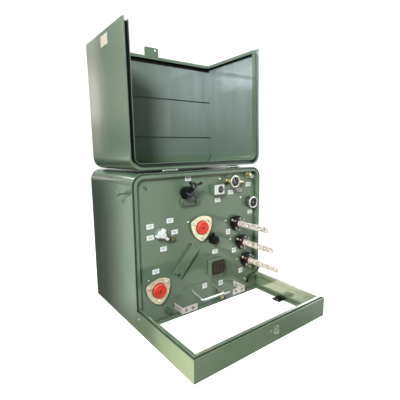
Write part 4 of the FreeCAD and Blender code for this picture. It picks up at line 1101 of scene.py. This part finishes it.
HIGH_BANDS = [
    (0.000, 0.4), (0.046, 0.6), (0.052, 0.7), (0.0547, 2.3, PINK), (0.0575, 0.35, PINK),
    (0.066, 0.45, PINK), (0.10, 1.2), (0.13, 2.5, BLUE), (0.20, 1.6), (0.40, 0.4), (0.55, 0.2),
    (0.574, 0.22), (0.582, 0.5), (0.589, 1.0), (0.600, 2.5, BLUE), (0.62, 3.0, BLUE), (0.70, 1.5),
    (1.0, 0.5)]

# Brightness of the upper part by height, 0 level and 1 straight up: two light strips under a ceiling.
CEILING_STRIPS = [
    (0.0, 0.45), (0.05, 0.6), (0.10, 1.3), (0.17, 1.3), (0.24, 0.65), (0.38, 0.9), (0.40, 9.0),
    (0.43, 9.0), (0.45, 0.8), (0.57, 0.8), (0.59, 9.0), (0.62, 9.0), (0.64, 1.0), (0.78, 1.2),
    (0.86, 2.5), (1.0, 2.0)]


def band_ramp(tree, where, stops):
    """Colour ramp from (position, brightness, optional tint) stops."""
    node = add(tree, "ShaderNodeValToRGB", {"Fac": where})
    ramp = node.color_ramp
    while len(ramp.elements) < len(stops):
        ramp.elements.new(0.5)
    for element, (at, value, *tint) in zip(ramp.elements, stops):
        r, g, b = tint[0] if tint else (1, 1, 1)
        element.position = at
        element.color = (value * r, value * g, value * b, 1)
    return node.outputs[0]


def sky():
    """White for the camera, a soft fill for diffuse light, and the banded surroundings for the gloss."""
    world = bpy.data.worlds.new("studio")
    bpy.context.scene.world = world
    world.use_nodes = True
    tree = world.node_tree
    tree.nodes.clear()
    way = add(tree, "ShaderNodeTexCoord").outputs["Generated"]
    x, y, z = add(tree, "ShaderNodeSeparateXYZ", {0: way}).outputs
    bearing = calc(tree, "ARCTAN2", x, calc(tree, "MULTIPLY", y, -1.0))
    turn = stretch(tree, bearing, -math.pi, math.pi)
    not_steep = stretch(tree, z, -0.48, -0.42)
    above = stretch(tree, z, -0.05, 0.0)
    lower = mix(tree, not_steep, band_ramp(tree, turn, UNDER_BANDS), band_ramp(tree, turn, LOW_BANDS))
    overhead = band_ramp(tree, z, CEILING_STRIPS)
    upper = mix(tree, 1.0, band_ramp(tree, turn, HIGH_BANDS), overhead, "MULTIPLY")
    mirrored = mix(tree, above, lower, upper)
    rays = add(tree, "ShaderNodeLightPath")
    fill = mix(tree, stretch(tree, z, -0.2, 0.9), (0.12, 0.13, 0.12), (0.20, 0.23, 0.24))
    light = mix(tree, rays.outputs["Is Glossy Ray"], fill, mirrored)
    shown = mix(tree, rays.outputs["Is Camera Ray"], light, (1.0, 1.0, 1.0))
    back = add(tree, "ShaderNodeBackground", {"Color": shown, "Strength": 1.0})
    add(tree, "ShaderNodeOutputWorld", {"Surface": back.outputs[0]})


def lamp(name, at, target, size, power, colour=(1, 1, 1), spread=180):
    """Soft square light aimed at a point."""
    data = bpy.data.lights.new(name, "AREA")
    data.size = size
    data.spread = math.radians(spread)
    data.energy = power
    data.color = colour
    obj = bpy.data.objects.new(name, data)
    bpy.context.scene.collection.objects.link(obj)
    obj.location = at
    obj.rotation_euler = (Vector(target) - Vector(at)).to_track_quat("-Z", "Y").to_euler()
    obj.visible_camera = False


def camera():
    """Camera at the photo's viewpoint. It looks to the right of +Y by yaw and down by pitch."""
    yaw, pitch, roll = math.radians(37.439), math.radians(8.828), math.radians(-0.496)
    data = bpy.data.cameras.new("photo_camera")
    data.sensor_width = 36.0
    data.lens = 29.74
    data.shift_x = -0.0109
    data.shift_y = -0.0040
    data.clip_end = 200
    obj = bpy.data.objects.new("photo_camera", data)
    bpy.context.scene.collection.objects.link(obj)
    level = Matrix.Rotation(-yaw, 4, "Z") @ Matrix.Rotation(math.pi / 2 - pitch, 4, "X")
    aim = level @ Matrix.Rotation(roll, 4, "Z")
    obj.matrix_world = Matrix.Translation((-1.0946, -1.4608, 0.9070)) @ aim
    bpy.context.scene.camera = obj


floor()
sky()
shade_card()
lamp("key", at=(-2.15, -1.95, 2.3), target=(0, 0, 0.5), size=0.6, power=104, colour=(0.98, 1.0, 1.04))
lamp("low_side", at=(-2.8, -1.1, 0.5), target=(0, -0.35, 0.06), size=0.8, power=3.2,
     colour=(1.0, 0.90, 0.68), spread=36)
lamp("back", at=(2.2, 3.2, 2.4), target=(0, 0.2, 0.6), size=2.0, power=70)
camera()
bpy.context.scene.view_settings.view_transform = "Standard"
bpy.context.scene.view_settings.look = "Medium High Contrast"
